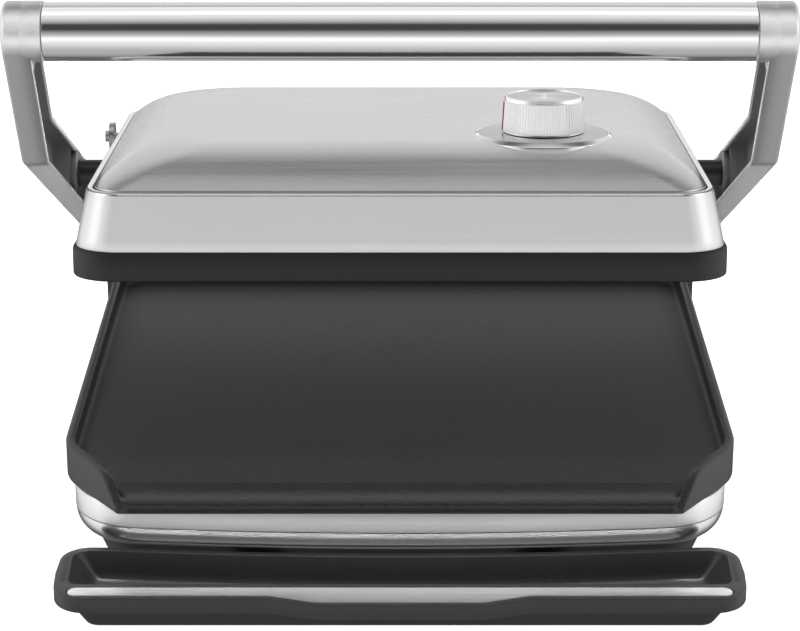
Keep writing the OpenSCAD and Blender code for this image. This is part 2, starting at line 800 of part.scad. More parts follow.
dome_steps = [0.4, 1.5, 3.5, 6.5, 10.5, 15.5, 21, 27, 33, 39];
module lid_shell() {
    outer = concat([panel_ring(0, lip_h - 3), panel_ring(0, dome_base - 0.3)],
                   [for (d = dome_steps) panel_ring(d, dome_height(d))],
                   [panel_ring(dome_edge, dome_top)]);
    inner = concat([panel_ring(dome_edge, dome_top - sheet_t)],
                   [for (i = [len(dome_steps) - 1:-1:2])
                       panel_ring(dome_steps[i] + 0.5, dome_height(dome_steps[i]) - sheet_t)],
                   [panel_ring(sheet_t, dome_base - sheet_t), panel_ring(sheet_t, lip_h - 3)]);
    rings = concat(outer, inner);
    n = 4 * (corner_steps + 1);
    top = len(outer) - 1;
    points = [for (ring = rings, p = ring) p];
    walls = [for (k = [0:len(rings) - 1], i = [0:n - 1])
        if (k != top)
            let (a = k * n + i, b = k * n + (i + 1) % n,
                 next = (k + 1) % len(rings),
                 c = next * n + (i + 1) % n, e = next * n + i)
            each [[a, c, b], [a, e, c]]];
    caps = [[for (i = [n - 1:-1:0]) top * n + i], [for (i = [0:n - 1]) (top + 1) * n + i]];
    polyhedron(points, concat(walls, caps));
}

module lid_top_panel() {
    color(steel) on_lid() difference() {
        lid_shell();
        translate([dial_x, dial_s, dome_top - 10]) cylinder(h = 20, r = ring_r + slack);
    }
}

// Silver band: a drafted wall with a rolled lip and an inner ledge for the panel
module lid_band() {
    foot = rim_h + slack;
    shoulder = lip_h - 2;
    shoulder_in = band_lip_in - 1.1;
    color(steel) on_lid() difference() {
        union() {
            difference() {
                hull() {
                    layer(foot) band_outline(band_foot_in, 0, $fn = hull_fn);
                    layer(shoulder) band_outline(shoulder_in, 0);
                }
                hull() {
                    layer(foot - eps) band_outline(band_foot_in, sheet_t);
                    layer(shoulder + eps) band_outline(shoulder_in, sheet_t);
                }
            }
            difference() {
                hull() {
                    layer(shoulder) band_outline(shoulder_in, 0);
                    layer(lip_h - 0.6) band_outline(band_lip_in - 0.35, 0);
                    layer(lip_h) band_outline(band_lip_in + 0.4, 0);
                }
                translate([0, 0, shoulder - 1]) linear_extrude(4)
                    band_outline(band_lip_in, lip_w);
            }
            // ledge that the panel stands on
            translate([0, 0, lip_h - 3 - slack - sheet_t]) linear_extrude(sheet_t) difference() {
                band_outline(shoulder_in, 0.6);
                band_outline(band_lip_in, lip_w + panel_gap + 1.6);
            }
        }
        for (s = [-1, 1]) side(s) translate([0, pivot_s, pivot_h])
            x_rod(lid_w / 2 - 14, lid_w / 2 + 5, shaft_r + 1);
        translate([0, stop_s, stop_h]) x_rod(-lid_w / 2 - 5, -lid_w / 2 + 12, 2.1);
    }
}

module lid_rim() {
    color(black) on_lid() {
        difference() {
            linear_extrude(rim_h) lid_outline(0);
            translate([0, 0, -1]) linear_extrude(rim_h - ledge_t + 1) lid_outline(2.6);
            translate([0, 0, rim_h - ledge_t - 1]) linear_extrude(ledge_t + 2)
                lid_outline(ledge_in);
            at_upper_screws() cylinder(h = rim_h + 5, r = 1.9);
        }
    }
}

module at_upper_screws() {
    for (sx = [-1, 1], s = [60, 198]) translate([sx * (lid_w / 2 - 8.5), s, 0]) children();
    for (sx = [-1, 1], s = [8.5, lid_d - 8.5]) translate([sx * 70, s, 0]) children();
}

// Steel ring on the rim's ledge with two upright cheeks for the pivots
module lid_frame() {
    cheek_half = 36;
    color(zinc) on_lid() difference() {
        union() {
            translate([0, 0, frame_h]) linear_extrude(frame_t) difference() {
                lid_outline(4.2);
                lid_outline(22);
            }
            for (s = [-1, 1]) side(s) translate([cheek_x, pivot_s - cheek_half, frame_h])
                cube([frame_t, 2 * cheek_half, pivot_h + 9 - frame_h]);
            for (s = [-1, 1]) side(s)
                translate([cheek_x, pivot_s, pivot_h]) x_rod(0, frame_t, 12);
        }
        for (s = [-1, 1]) side(s)
            translate([cheek_x, pivot_s, pivot_h]) x_rod(-1, frame_t + 1, 9.1);
        at_upper_screws() cylinder(h = frame_h + 5, r = 1.9);
    }
}

module upper_plate() {
    rib_span = lid_w - 2 * upper_in - 16;
    pitch = rib_span / (rib_count - 1);
    flange_t = 2.8;
    rib_start = upper_in + 14;
    color(nonstick) on_lid() difference() {
        union() {
            translate([0, 0, upper_bottom]) linear_extrude(plate_t) lid_outline(upper_in);
            translate([0, 0, upper_bottom]) linear_extrude(flange_top - upper_bottom)
                difference() {
                    lid_outline(upper_in);
                    lid_outline(upper_in + 3.5);
                }
            translate([0, 0, flange_top - flange_t]) linear_extrude(flange_t) difference() {
                lid_outline(3);
                lid_outline(upper_in + 1);
            }
            for (i = [0:rib_count - 1])
                translate([(i - (rib_count - 1) / 2) * pitch, rib_start, upper_bottom + eps])
                rotate([-90, 0, 0]) linear_extrude(lid_d - 2 * rib_start)
                polygon([[-3.4, 0], [-1.4, rib_h], [1.4, rib_h], [3.4, 0]]);
        }
        at_upper_screws() translate([0, 0, flange_top - flange_t + 0.6])
            cylinder(h = 20, r = 1.65);
    }
}

module upper_plate_screws() {
    top = frame_h + frame_t + 2.2;
    color(zinc) on_lid() at_upper_screws() translate([0, 0, top + 0.1]) mirror([0, 0, 1])
        screw(2.7, 2, 1.6, top - flange_top + 0.2);
}

upper_first = rod_first;
module upper_element() {
    color(zinc) on_lid() heating_rod(upper_first, rod_h);
}

module upper_element_clamps() {
    color(steel) on_lid() clamp_strips(upper_first, rod_h, -1);
}

thermo_half = 13;
module upper_heat_shield() {
    color(steel) on_lid() translate([0, 0, shield_h]) linear_extrude(0.7) difference() {
        lid_outline(17.5);
        translate([dial_x, dial_s]) square(2 * thermo_half + 4, center = true);
    }
}

neck_top = 32;
// Thermostat that stands on the upper plate, with a neck for its spindle
module thermostat() {
    color("tan") on_lid() translate([dial_x, dial_s, 0]) difference() {
        union() {
            translate([-thermo_half, -thermo_half, upper_top + slack])
                cube([2 * thermo_half, 2 * thermo_half, 17]);
            translate([0, 0, upper_top + slack + 16]) cylinder(h = neck_top - upper_top - 16,
                                                               r = 6);
        }
        translate([0, 0, upper_top + slack + 8]) cylinder(h = 40, r = spindle_r + fit);
    }
}

module pivot_bush(s) {
    color([0.85, 0.83, 0.78]) on_lid() side(s) translate([0, pivot_s, pivot_h]) difference() {
        union() {
            x_rod(cheek_x - 5.8, cheek_x + frame_t + 0.8, 9);
            x_rod(cheek_x - 1.9, cheek_x - 0.2, 12);
        }
        x_rod(cheek_x - 10, cheek_x + 15, shaft_r + fit);
    }
}

// Pin on the lid's left side, with a loose-looking disc held under its head
band_side = lid_w / 2 - band_foot_in
    - (band_lip_in - 1.1 - band_foot_in) * (stop_h - rim_h) / (lip_h - 2 - rim_h);
disc_x = band_side + 5.7;
module stop_pin() {
    color(zinc) on_lid() side(-1) translate([0, stop_s, stop_h]) {
        x_rod(band_side - 4.6, disc_x + 3.2, 2);
        x_rod(disc_x + 3.1, disc_x + 5.4, 3.2);
        x_rod(band_side - 4.6, band_side - 2.4, 3.4);
    }
}

module stop_disc() {
    color(zinc) on_lid() side(-1) translate([0, stop_s, stop_h]) difference() {
        x_rod(disc_x, disc_x + 2.9, 7.9);
        x_rod(disc_x - 1, disc_x + 4, 2 + fit);
    }
}

// Flat disc with a polished bevel, which stands in a round hole in the panel
module dial_ring() {
    flat_r = ring_r - 3;
    top = ring_h + 0.9;
    flange = dome_height(dial_s - ring_r - panel_deep) - sheet_t - 1.5;
    color(steel) on_lid() translate([dial_x, dial_s, 0]) rotate_extrude() polygon([
        [spindle_r + 0.4, top - 1.2], [flat_r - 1, top - 1.2], [ring_r - 1.4, top - 3],
        [ring_r - 1.4, flange - 1.2], [ring_r + 3, flange - 1.2], [ring_r + 3, flange],
        [ring_r, flange], [ring_r, top - 2.1], [flat_r, top], [spindle_r + 0.4, top]]);
}

// ---- knob, which turns ----

// Fluted side: a round outline with shallow flutes
function flute_ring(r, depth) =
    [for (i = [0:2 * flute_count - 1])
        let (a = 180 * i / flute_count, q = r - (i % 2) * depth) [q * cos(a), q * sin(a)]];

module knob() {
    color("whitesmoke") on_lid() translate([dial_x, dial_s, knob_base]) difference() {
        union() {
            intersection() {
                translate([0, 0, 0.5]) linear_extrude(knob_h - 2.2)
                    polygon(flute_ring(knob_r, 0.55));
                cylinder(h = knob_h, r1 = knob_r, r2 = knob_r - 0.9);
            }
            translate([0, 0, 0.1]) cylinder(h = 1.4, r = knob_r - 0.6);
            translate([0, 0, knob_h - 1.8])
                cylinder(h = 1.4, r1 = knob_r - 1.1, r2 = knob_r - 2.3);
        }
        translate([0, 0, -1]) cylinder(h = knob_h - 3.6, r = knob_r - 2.6);
        translate([0, 0, knob_h - 1.3]) cylinder(h = 5, r = knob_r - 2.9);
    }
    color("whitesmoke") on_lid() translate([dial_x, dial_s, knob_base]) difference() {
        translate([0, 0, 3]) cylinder(h = knob_h - 6.5, r = 6);
        translate([0, 0, 2]) cylinder(h = knob_h - 8, r = spindle_r + 0.08);
    }
}

module knob_cap() {
    color(cast) on_lid() translate([dial_x, dial_s, knob_base + knob_h - 1.1])
        cylinder(h = 1.1, r = knob_r - 3.1);
}

module thermostat_spindle() {
    bottom = upper_top + slack + 9;
    color(zinc) on_lid() translate([dial_x, dial_s, bottom])
        cylinder(h = knob_base + knob_h - 6.6 - bottom, r = spindle_r);
}

// ---- drip tray ----

tray_bottom = 0.8;
tray_side_in = 1;                         // how much narrower the tray is at its back edge
tray_gap = 1.8;                           // gap between the tray's back and the pan
tray_back = base_front - pan_in + tray_gap - base_bow * 1.25;

// Fillet points at corner p between a and b
function fillet(a, p, b, r, n) =
    let (u = (a - p) / norm(a - p), v = (b - p) / norm(b - p),
         half = acos(u * v) / 2, m = (u + v) / norm(u + v),
         c = p + m * r / sin(half), turn = u[0] * v[1] - u[1] * v[0] > 0 ? -1 : 1,
         start = atan2(p[1] + u[1] * r / tan(half) - c[1], p[0] + u[0] * r / tan(half) - c[0]))
    [for (i = [0:n]) c + r * [cos(start + turn * (180 - 2 * half) * i / n),
                              sin(start + turn * (180 - 2 * half) * i / n)]];

// Half outline of the tray from the back's middle round to the front's middle, drawn in by t at
// the side, f in front and b at the back
function tray_half(t, f, b, grip) =
    let (w = tray_w / 2 - t, back = -tray_back - b, front = -tray_front + f,
         waist = back + 0.5 * (front - back),
         bw = w - tray_side_in + 0.03 * t,
         gx = grip_half, gy = front - grip,
         p = [[0, back - base_bow * 1.25], [bw * 0.5, back - base_bow], [bw, back],
              [w, waist], [w - 1.5, front], [gx + 22, front], [gx, gy], [0, gy]])
    concat(
        [p[0]],
        [for (i = [1:8]) [bw * 0.9 * i / 9, back - base_bow * 1.25 * (1 - pow(i / 9, 2))]],
        fillet([bw * 0.8, back - 0.5], p[2], p[3], max(14 - t, 3), 5),
        fillet(p[2], p[3], p[4], max(16 - t, 4), 3),
        fillet(p[3], p[4], p[5], max(16 - t * 0.6, 3), 6),
        grip > 0 ? fillet(p[4], p[5], p[6], 14, 3) : [],
        grip > 0 ? fillet(p[5], p[6], p[7], 14, 3) : [],
        [p[7]]);

function whole(half) =
    concat(half, [for (i = [len(half) - 2:-1:1]) [-half[i][0], half[i][1]]]);

module tray_outline(t, f, b, grip) {
    polygon(whole(tray_half(t, f, b, grip)));
}

// Cavity's outline: narrower than the tray and clear of the flange
module cavity_outline(t, f, b) {
    intersection() {
        tray_outline(edge_side + t, 0, edge_w + b, 0);
        translate([-tray_w, -tray_front + flange_w + f]) square([2 * tray_w, 100]);
    }
}

module drip_tray() {
    flange_z = tray_top - flange_h;
    color(black) difference() {
        union() {
            translate([0, 0, flange_z]) linear_extrude(flange_h) tray_outline(0, 0, 0, grip_out);
            hull() {
                layer(tray_bottom) tray_outline(16, 4, 5, 0);
                layer(flange_z) tray_outline(9.5, 0.6, 2, 0);
            }
            for (sx = [-1, 1]) translate([sx * tongue_x - tongue_w / 2,
                                          -tray_back - 18, tongue_top - tongue_t])
                cube([tongue_w, tongue_len + 18 + 8, tongue_t]);
        }
        hull() {
            layer(tray_bottom + 2.2) cavity_outline(11.5, 3, 4.5);
            layer(tray_top + 0.2) cavity_outline(0, 0, 0);
        }
        translate([0, 0, tray_top - 1]) linear_extrude(3) inlay_outline(-0.15);
    }
}

// The steel strip's outline: a long band that swells towards the finger grip
module inlay_outline(t) {
    w = tray_w / 2 - 8.5;
    rear = -tray_front + flange_w - 3.6;
    side_front = -tray_front + 2.4;
    grip_front = side_front - grip_out;
    half = [[0, rear - t], [w - 8, rear - t], [w - 3 - t, rear - 1.2], [w - t, rear - 3.6],
            [w - 3.5 - t, side_front + 2.2], [w - 10, side_front + 0.6],
            [w - 22, side_front + t], [grip_half + 24, side_front + t],
            [grip_half + 12, side_front - grip_out * 0.4 + t],
            [grip_half - 2, grip_front + t], [0, grip_front + t]];
    polygon(whole(half));
}

module tray_inlay() {
    color(steel) translate([0, 0, tray_top - 1 + 0.05]) linear_extrude(1.05) inlay_outline(0);
}

// ---- the whole object, with its middle at Y 0 ----

translate([0, -mid_y, 0]) {
    base_pan();
    base_band();
    lower_plate();
    lower_element();
    lower_element_clamps();
    lower_heat_shield();
    thermal_cutout();
    base_screws();
    rear_housing();
    terminal_block();
    cord_gland();
    feet();
    hinge_bracket(-1);  // hinge_bracket_left
    hinge_bracket(1);  // hinge_bracket_right
    bracket_screws();
    hinge_bush(-1);  // hinge_bush_left
    hinge_bush(1);  // hinge_bush_right
    arm(-1);  // arm_left
    arm(1);  // arm_right
    handle_tube();
    handle_tie_rod();
    pivot_shaft(-1);  // pivot_shaft_left
    pivot_shaft(1);  // pivot_shaft_right
    lid_top_panel();
    lid_band();
    lid_rim();
    lid_frame();
    upper_plate();
    upper_plate_screws();
    upper_element();
    upper_element_clamps();
    upper_heat_shield();
    thermostat();
    pivot_bush(-1);  // pivot_bush_left
    pivot_bush(1);  // pivot_bush_right
    stop_pin();
    stop_disc();
    dial_ring();
    knob();
    knob_cap();
    thermostat_spindle();
    drip_tray();
    tray_inlay();
}
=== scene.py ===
import math
import bpy
import bmesh
from mathutils import Matrix, Vector
from mathutils.geometry import tessellate_polygon


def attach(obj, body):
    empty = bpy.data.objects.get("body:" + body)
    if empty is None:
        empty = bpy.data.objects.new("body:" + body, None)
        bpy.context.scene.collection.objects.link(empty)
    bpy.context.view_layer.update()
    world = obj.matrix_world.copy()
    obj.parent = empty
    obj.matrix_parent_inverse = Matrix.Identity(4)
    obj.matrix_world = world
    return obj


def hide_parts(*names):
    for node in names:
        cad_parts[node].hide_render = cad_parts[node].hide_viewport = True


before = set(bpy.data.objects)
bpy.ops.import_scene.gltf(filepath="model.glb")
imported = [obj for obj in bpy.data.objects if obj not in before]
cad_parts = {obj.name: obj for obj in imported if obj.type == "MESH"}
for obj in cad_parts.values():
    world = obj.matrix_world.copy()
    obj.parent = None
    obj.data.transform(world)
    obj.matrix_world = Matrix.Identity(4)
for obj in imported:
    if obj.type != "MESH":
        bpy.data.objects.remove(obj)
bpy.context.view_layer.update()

print("frame loaded:", len(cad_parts), "nodes")

# Shapes are worked out in millimetres from the plate's shoulder and the table, as in the part's
# source, and place() takes them to the frame. Lid shapes use s back from the lid's front edge
# and h up from its rim.
midY = 95.5
pivot = {"y": 146.529, "z": 150.235, "s": 129.1, "h": 29.0, "tilt": 6.4}
weldReach = 2e-6


def place(x, y, z):
    return Vector((x / 1000, (y - midY) / 1000, z / 1000))


def onLid(x, s, h):
    a = math.radians(pivot["tilt"])
    y, z = s - pivot["s"], h - pivot["h"]
    return place(x, pivot["y"] + y * math.cos(a) + z * math.sin(a),
                 pivot["z"] - y * math.sin(a) + z * math.cos(a))


def lidMatrix(x, s, h):  # frame of a point on the lid, for meshes made in metres round it
    turn = Matrix.Rotation(math.radians(-pivot["tilt"]), 4, "X")
    return Matrix.Translation(onLid(x, s, h)) @ turn


def arc(cx, cy, r, start, end, steps):
    return [(cx + r * math.cos(math.radians(start + (end - start) * i / steps)),
             cy + r * math.sin(math.radians(start + (end - start) * i / steps)))
            for i in range(steps + 1)]


# loop joins the last ring to the first, and openPath leaves each ring open
def loft(rings, loop=False, openPath=False, capStart=True, capEnd=True):
    n = len(rings[0])
    verts = [p for ring in rings for p in ring]
    faces = []
    rows = len(rings)
    for k in range(rows if loop else rows - 1):
        below, above = k * n, ((k + 1) % rows) * n
        for i in range(n - 1 if openPath else n):
            j = (i + 1) % n
            faces.append((below + i, below + j, above + j, above + i))
    if not loop and not openPath:
        if capStart:
            faces.append(tuple(reversed(range(n))))
        if capEnd:
            faces.append(tuple((rows - 1) * n + i for i in range(n)))
    if openPath and loop:
        faces.append(tuple(k * n for k in range(rows)))
        faces.append(tuple(k * n + n - 1 for k in reversed(range(rows))))
    return verts, faces


def flatFace(loops):  # one flat face bounded by loops, the first of them outside
    verts = [p for ring in loops for p in ring]
    return verts, [tuple(f) for f in tessellate_polygon(loops)]


def lathe(profile, put, steps=128, loop=False):  # profile is (radius, height)
    rings = []
    for r, h in profile:
        rings.append([put(r * math.cos(2 * math.pi * i / steps),
                          r * math.sin(2 * math.pi * i / steps), h) for i in range(steps)])
    return loft(rings, loop)


def addPiece(name, parts, material, body, nodes, sharp=35):
    verts, faces = [], []
    for v, f in parts:
        first = len(verts)
        verts += [tuple(p) for p in v]
        faces += [tuple(first + i for i in face) for face in f]
    mesh = bpy.data.meshes.new(name)
    mesh.from_pydata(verts, [], faces)
    return finishPiece(name, mesh, material, body, nodes, sharp)


def finishPiece(name, mesh, material, body, nodes, sharp):
    bm = bmesh.new()
    bm.from_mesh(mesh)
    bmesh.ops.remove_doubles(bm, verts=bm.verts, dist=weldReach)
    bmesh.ops.dissolve_degenerate(bm, edges=bm.edges, dist=weldReach / 20)
    bmesh.ops.recalc_face_normals(bm, faces=bm.faces)
    bm.to_mesh(mesh)
    bm.free()
    piece = bpy.data.objects.new(name, mesh)
    bpy.context.scene.collection.objects.link(piece)
    mesh.materials.clear()
    mesh.materials.append(material)
    mesh.shade_smooth()
    mesh.set_sharp_from_angle(angle=math.radians(sharp))
    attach(piece, body)
    if nodes:
        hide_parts(*nodes)
    return piece


def feed(tree, node, inputs):  # inputs: a socket's name or number to a value or another socket
    for label, value in inputs.items():
        if isinstance(value, bpy.types.NodeSocket):
            tree.links.new(value, node.inputs[label])
        else:
            node.inputs[label].default_value = value
    return node


def addNode(tree, kind, inputs, **settings):
    node = tree.nodes.new(kind)
    for label, value in settings.items():
        setattr(node, label, value)
    return feed(tree, node, inputs)


def compute(tree, operation, *values, vector=False):  # values may be sockets
    node = addNode(tree, "ShaderNodeVectorMath" if vector else "ShaderNodeMath",
                   dict(enumerate(values)), operation=operation)
    return node.outputs["Vector" if vector and operation != "LENGTH" else "Value"]


# Materials: every pattern reads Object coordinates, so it stays with its piece at any pose
def newMaterial(name, color, metallic, roughness):
    mat = bpy.data.materials.new(name)
    mat.use_nodes = True
    tree = mat.node_tree
    shader = feed(tree, tree.nodes["Principled BSDF"],
                  {"Base Color": (*color, 1), "Metallic": metallic, "Roughness": roughness})
    coords = addNode(tree, "ShaderNodeTexCoord", {}).outputs["Object"]
    return mat, tree, shader, coords


def mapRange(tree, source, low, high, fromMin=0.3, fromMax=0.7):
    return addNode(tree, "ShaderNodeMapRange", {
        "Value": source, "From Min": fromMin, "From Max": fromMax, "To Min": low,
        "To Max": high}).outputs["Result"]


def tinted(tree, color, factor):
    return addNode(tree, "ShaderNodeMix", {"Factor": 1.0, "A": (*color, 1), "B": factor},
                   data_type="RGBA", blend_type="MULTIPLY").outputs["Result"]


def noise(tree, vector, scale, detail=5.0, rough=0.6):
    return addNode(tree, "ShaderNodeTexNoise", {
        "Vector": vector, "Scale": scale, "Detail": detail,
        "Roughness": rough}).outputs["Fac"]


def relief(tree, shader, height, strength, distance):
    bump = addNode(tree, "ShaderNodeBump",
                   {"Height": height, "Strength": strength, "Distance": distance})
    feed(tree, shader, {"Normal": bump.outputs["Normal"]})


def acrossGrain(tree, shader, axis, amount):
    # the sheen spreads along the part of axis that lies in the surface, across the brushing
    normal = addNode(tree, "ShaderNodeNewGeometry", {}).outputs["Normal"]
    share = compute(tree, "PROJECT", axis, normal, vector=True)
    flat = compute(tree, "SUBTRACT", axis, share, vector=True)
    feed(tree, shader, {"Tangent": compute(tree, "NORMALIZE", flat, vector=True),
                        "Anisotropic": amount})


def brushedMetal(name, color, roughness, grain, spread=0.06, bump=0.02, rough=0.10,
                 cloudy=0.02, across=None, sheen=0.7):
    mat, tree, shader, coords = newMaterial(name, color, 1.0, roughness)
    stretch = addNode(tree, "ShaderNodeMapping", {"Vector": coords, "Scale": grain})
    hairs = noise(tree, stretch.outputs["Vector"], 1.0, 6.0, 0.65)
    patches = noise(tree, coords, 14.0, 2.0, 0.5)
    fine = mapRange(tree, hairs, 1.0 - spread, 1.0 + spread, 0.25, 0.75)
    broad = mapRange(tree, patches, 1.0 - cloudy, 1.0 + cloudy)
    roughMap = mapRange(tree, hairs, max(roughness - rough, 0.05), roughness + rough)
    feed(tree, shader, {"Base Color": tinted(tree, color, compute(tree, "MULTIPLY", fine, broad)),
                        "Roughness": roughMap})
    relief(tree, shader, hairs, bump, 0.0004)
    if across:
        acrossGrain(tree, shader, across, sheen)
    return mat


def grainy(name, color, metallic, roughness, size, spread=0.12, bump=0.1, rough=0.08,
           depth=0.0003, detail=5.0):
    mat, tree, shader, coords = newMaterial(name, color, metallic, roughness)
    grain = noise(tree, coords, size, detail)
    fine = mapRange(tree, grain, 1.0 - spread, 1.0 + spread)
    roughMap = mapRange(tree, grain, max(roughness - rough, 0.04), min(roughness + rough, 1.0))
    feed(tree, shader, {"Base Color": tinted(tree, color, fine), "Roughness": roughMap})
    relief(tree, shader, grain, bump, depth)
    return mat


def spunMetal(name, color, roughness, centre, tilt, turns, bump):  # fine rings round centre
    mat, tree, shader, coords = newMaterial(name, color, 1.0, roughness)
    shift = compute(tree, "SUBTRACT", coords, centre, vector=True)
    turn = addNode(tree, "ShaderNodeMapping",
                   {"Vector": shift, "Rotation": (tilt, 0, 0), "Scale": (1, 1, 0)})
    reach = compute(tree, "LENGTH", turn.outputs["Vector"], vector=True)
    stretch = addNode(tree, "ShaderNodeCombineXYZ", {"X": reach})
    rings = noise(tree, stretch.outputs["Vector"], turns, 3.0, 0.7)
    axis = (0, math.sin(tilt), math.cos(tilt))
    across = compute(tree, "CROSS_PRODUCT", shift, axis, vector=True)
    feed(tree, shader, {"Base Color": tinted(tree, color, mapRange(tree, rings, 0.93, 1.05)),
                        "Tangent": compute(tree, "NORMALIZE", across, vector=True),
                        "Anisotropic": 0.85})
    relief(tree, shader, rings, bump, 0.0002)
    return mat


dial = {"x": 72.5, "s": 66.0, "base": 61.75}
dialTilt = math.radians(pivot["tilt"])
lidSteel = brushedMetal("lid steel", (0.80, 0.80, 0.79), 0.30, (7, 480, 480), spread=0.075,
                        bump=0.02, rough=0.06, cloudy=0.015, across=(0, 1, 0), sheen=0.5)
bandSteel = brushedMetal("band steel", (0.83, 0.83, 0.82), 0.42, (9, 700, 1200), spread=0.02,
                         bump=0.008, rough=0.04, cloudy=0.01, across=(0, 0, 1), sheen=0.75)
lipSteel = brushedMetal("lip steel", (0.78, 0.78, 0.77), 0.22, (60, 60, 60), spread=0.02,
                        bump=0.0, rough=0.03, cloudy=0.0)
stripSteel = brushedMetal("strip steel", (0.84, 0.84, 0.83), 0.30, (9, 900, 900), spread=0.02,
                          bump=0.006, rough=0.04, cloudy=0.01, across=(0, 1, 0), sheen=0.5)
coveSteel = brushedMetal("cove steel", (0.80, 0.80, 0.79), 0.20, (9, 300, 300), spread=0.02,
                         bump=0.0, rough=0.02, cloudy=0.0)
polishedSteel = brushedMetal("polished steel", (0.90, 0.90, 0.90), 0.07, (30, 300, 600),
                             spread=0.01, bump=0.0, rough=0.01, cloudy=0.0)
tubeSteel = brushedMetal("handle steel", (0.88, 0.88, 0.87), 0.13, (1400, 50, 50),
                         spread=0.015, bump=0.003, rough=0.02, cloudy=0.0)
sheetMetal = brushedMetal("sheet", (0.58, 0.58, 0.58), 0.42, (300, 40, 300), spread=0.08,
                          bump=0.03)
castMetal = grainy("satin casting", (0.76, 0.76, 0.765), 1.0, 0.40, 900, spread=0.03, bump=0.03)
# the arms' insides get a darker copy of the casting: the darker grey is painted shade, and the
# extra roughness and bumps are the rough casting's own
shadedRoughCasting = grainy("rough casting in painted shade", (0.42, 0.42, 0.425), 1.0, 0.50, 700, spread=0.08, bump=0.15)
nonstick = grainy("non-stick coat", (0.021, 0.023, 0.024), 0.0, 0.40, 1000, spread=0.5,
                  bump=0.5, rough=0.10, depth=0.0005, detail=2.0)
rimBlack = grainy("black moulding", (0.011, 0.011, 0.012), 0.0, 0.55, 1800, 0.15, 0.06)
panBlack = grainy("pan moulding", (0.020, 0.020, 0.021), 0.0, 0.5, 1200, 0.2, 0.1)
trayBlack = grainy("tray moulding", (0.015, 0.015, 0.016), 0.0, 0.38, 900, 0.12, 0.04)
# a darker copy of the tray black for the body under the flange: the darker colour is painted shade,
# and the higher roughness is its matt finish
trayMattShaded = grainy("tray underside in painted shade", (0.011, 0.011, 0.012), 0.0, 0.6, 900, 0.12, 0.04)
rubber = grainy("rubber", (0.015, 0.015, 0.015), 0.0, 0.8, 2500, 0.2, 0.2)
zincMetal = grainy("zinc plate", (0.62, 0.62, 0.62), 1.0, 0.30, 700, 0.06, 0.04)
darkMetal = grainy("dark shaft", (0.045, 0.045, 0.046), 0.6, 0.35, 900, 0.15, 0.05)
rodMetal = grainy("heater sheath", (0.10, 0.10, 0.105), 0.8, 0.55, 900, 0.25, 0.1)
ceramic = grainy("ceramic", (0.70, 0.67, 0.60), 0.0, 0.6, 600, 0.06, 0.05)
markerRed = grainy("red marker", (0.55, 0.03, 0.02), 0.0, 0.4, 700, 0.05, 0.0)
knobMetal = grainy("knob plating", (0.95, 0.95, 0.95), 1.0, 0.24, 500, spread=0.02, bump=0.0,
                   rough=0.03)
knobTop = spunMetal("spun knob top", (0.66, 0.66, 0.66), 0.24,
                    onLid(dial["x"], dial["s"], dial["base"] + 19), dialTilt, 2600, 0.08)
discSteel = spunMetal("spun dial disc", (0.74, 0.74, 0.73), 0.30,
                      onLid(dial["x"], dial["s"], dial["base"]), dialTilt, 1500, 0.05)
print("materials made")

nodeLooks = (
    (panBlack, "base_pan rear_housing"),
    (bandSteel, "base_band lid_band tray_inlay"),
    (nonstick, "lower_plate upper_plate"),
    (rodMetal, "lower_element upper_element"),
    (sheetMetal, "lower_element_clamps lower_heat_shield thermal_cutout lid_frame "
                 "upper_element_clamps upper_heat_shield"),
    (zincMetal, "base_screws bracket_screws hinge_bush_left hinge_bush_right handle_tie_rod "
                "upper_plate_screws stop_pin stop_disc thermostat_spindle"),
    (ceramic, "terminal_block thermostat pivot_bush_left pivot_bush_right"),
    (rubber, "cord_gland feet"),
    (darkMetal, "hinge_bracket_left hinge_bracket_right pivot_shaft_left pivot_shaft_right"),
    (castMetal, "arm_left arm_right"), (tubeSteel, "handle_tube"), (lidSteel, "lid_top_panel"),
    (rimBlack, "lid_rim"), (discSteel, "dial_ring"), (knobMetal, "knob"),
    (knobTop, "knob_cap"), (trayBlack, "drip_tray"))
for look, names in nodeLooks:
    for name in names.split():
        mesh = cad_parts[name].data
        mesh.materials.clear()
        mesh.materials.append(look)

# The lid's domed panel, silver band and black rim
lid = {"width": 323.0, "depth": 256.0, "corner": 21.5, "cornerSteps": 14, "cornerGrow": 24,
       "rimHeight": 14.3, "rimIn": 12.0, "footIn": 1.6, "foot": 15.2, "bandLean": 5.3,
       "bandRise": 25.8, "bandSteps": 6, "fold": (7.05, 41.7), "sheet": 1.2, "lip": 43.0,
       "lipIn": 8.0, "lipWidth": 2.3, "share": 0.65, "gap": 0.8, "rise": 18.5, "edge": 42.0,
       "domeSteps": 36, "swell": 2.3}


def roundRect(halfWidth, front, back, r, steps):
    pts = arc(halfWidth - r, back - r, r, 0, 90, steps)
    pts += arc(-halfWidth + r, back - r, r, 90, 180, steps)
    pts += arc(-halfWidth + r, front + r, r, 180, 270, steps)
    pts += arc(halfWidth - r, front + r, r, 270, 360, steps)
    return pts


def lidRing(t, h):
    pts = roundRect(lid["width"] / 2 - t, t, lid["depth"] - t, max(lid["corner"] - t * 0.5, 3),
                    lid["cornerSteps"])
    return [onLid(x, s, h) for x, s in pts]


def bandRing(t, w, h):
    deep = t * lid["share"] + w
    pts = roundRect(lid["width"] / 2 - t - w, deep, lid["depth"] - deep,
                    lid["corner"] - t * 0.25 - w, lid["cornerSteps"])
    return [onLid(x, s, h) for x, s in pts]


panelIn = lid["lipIn"] + lid["lipWidth"] + lid["gap"]
panelDeep = lid["lipIn"] * lid["share"] + lid["lipWidth"] + lid["gap"]
panelCorner = lid["corner"] - lid["lipIn"] * 0.25 - lid["lipWidth"] - lid["gap"]
domeBase = lid["lip"] + 0.6
domeTop = lid["lip"] + lid["rise"]


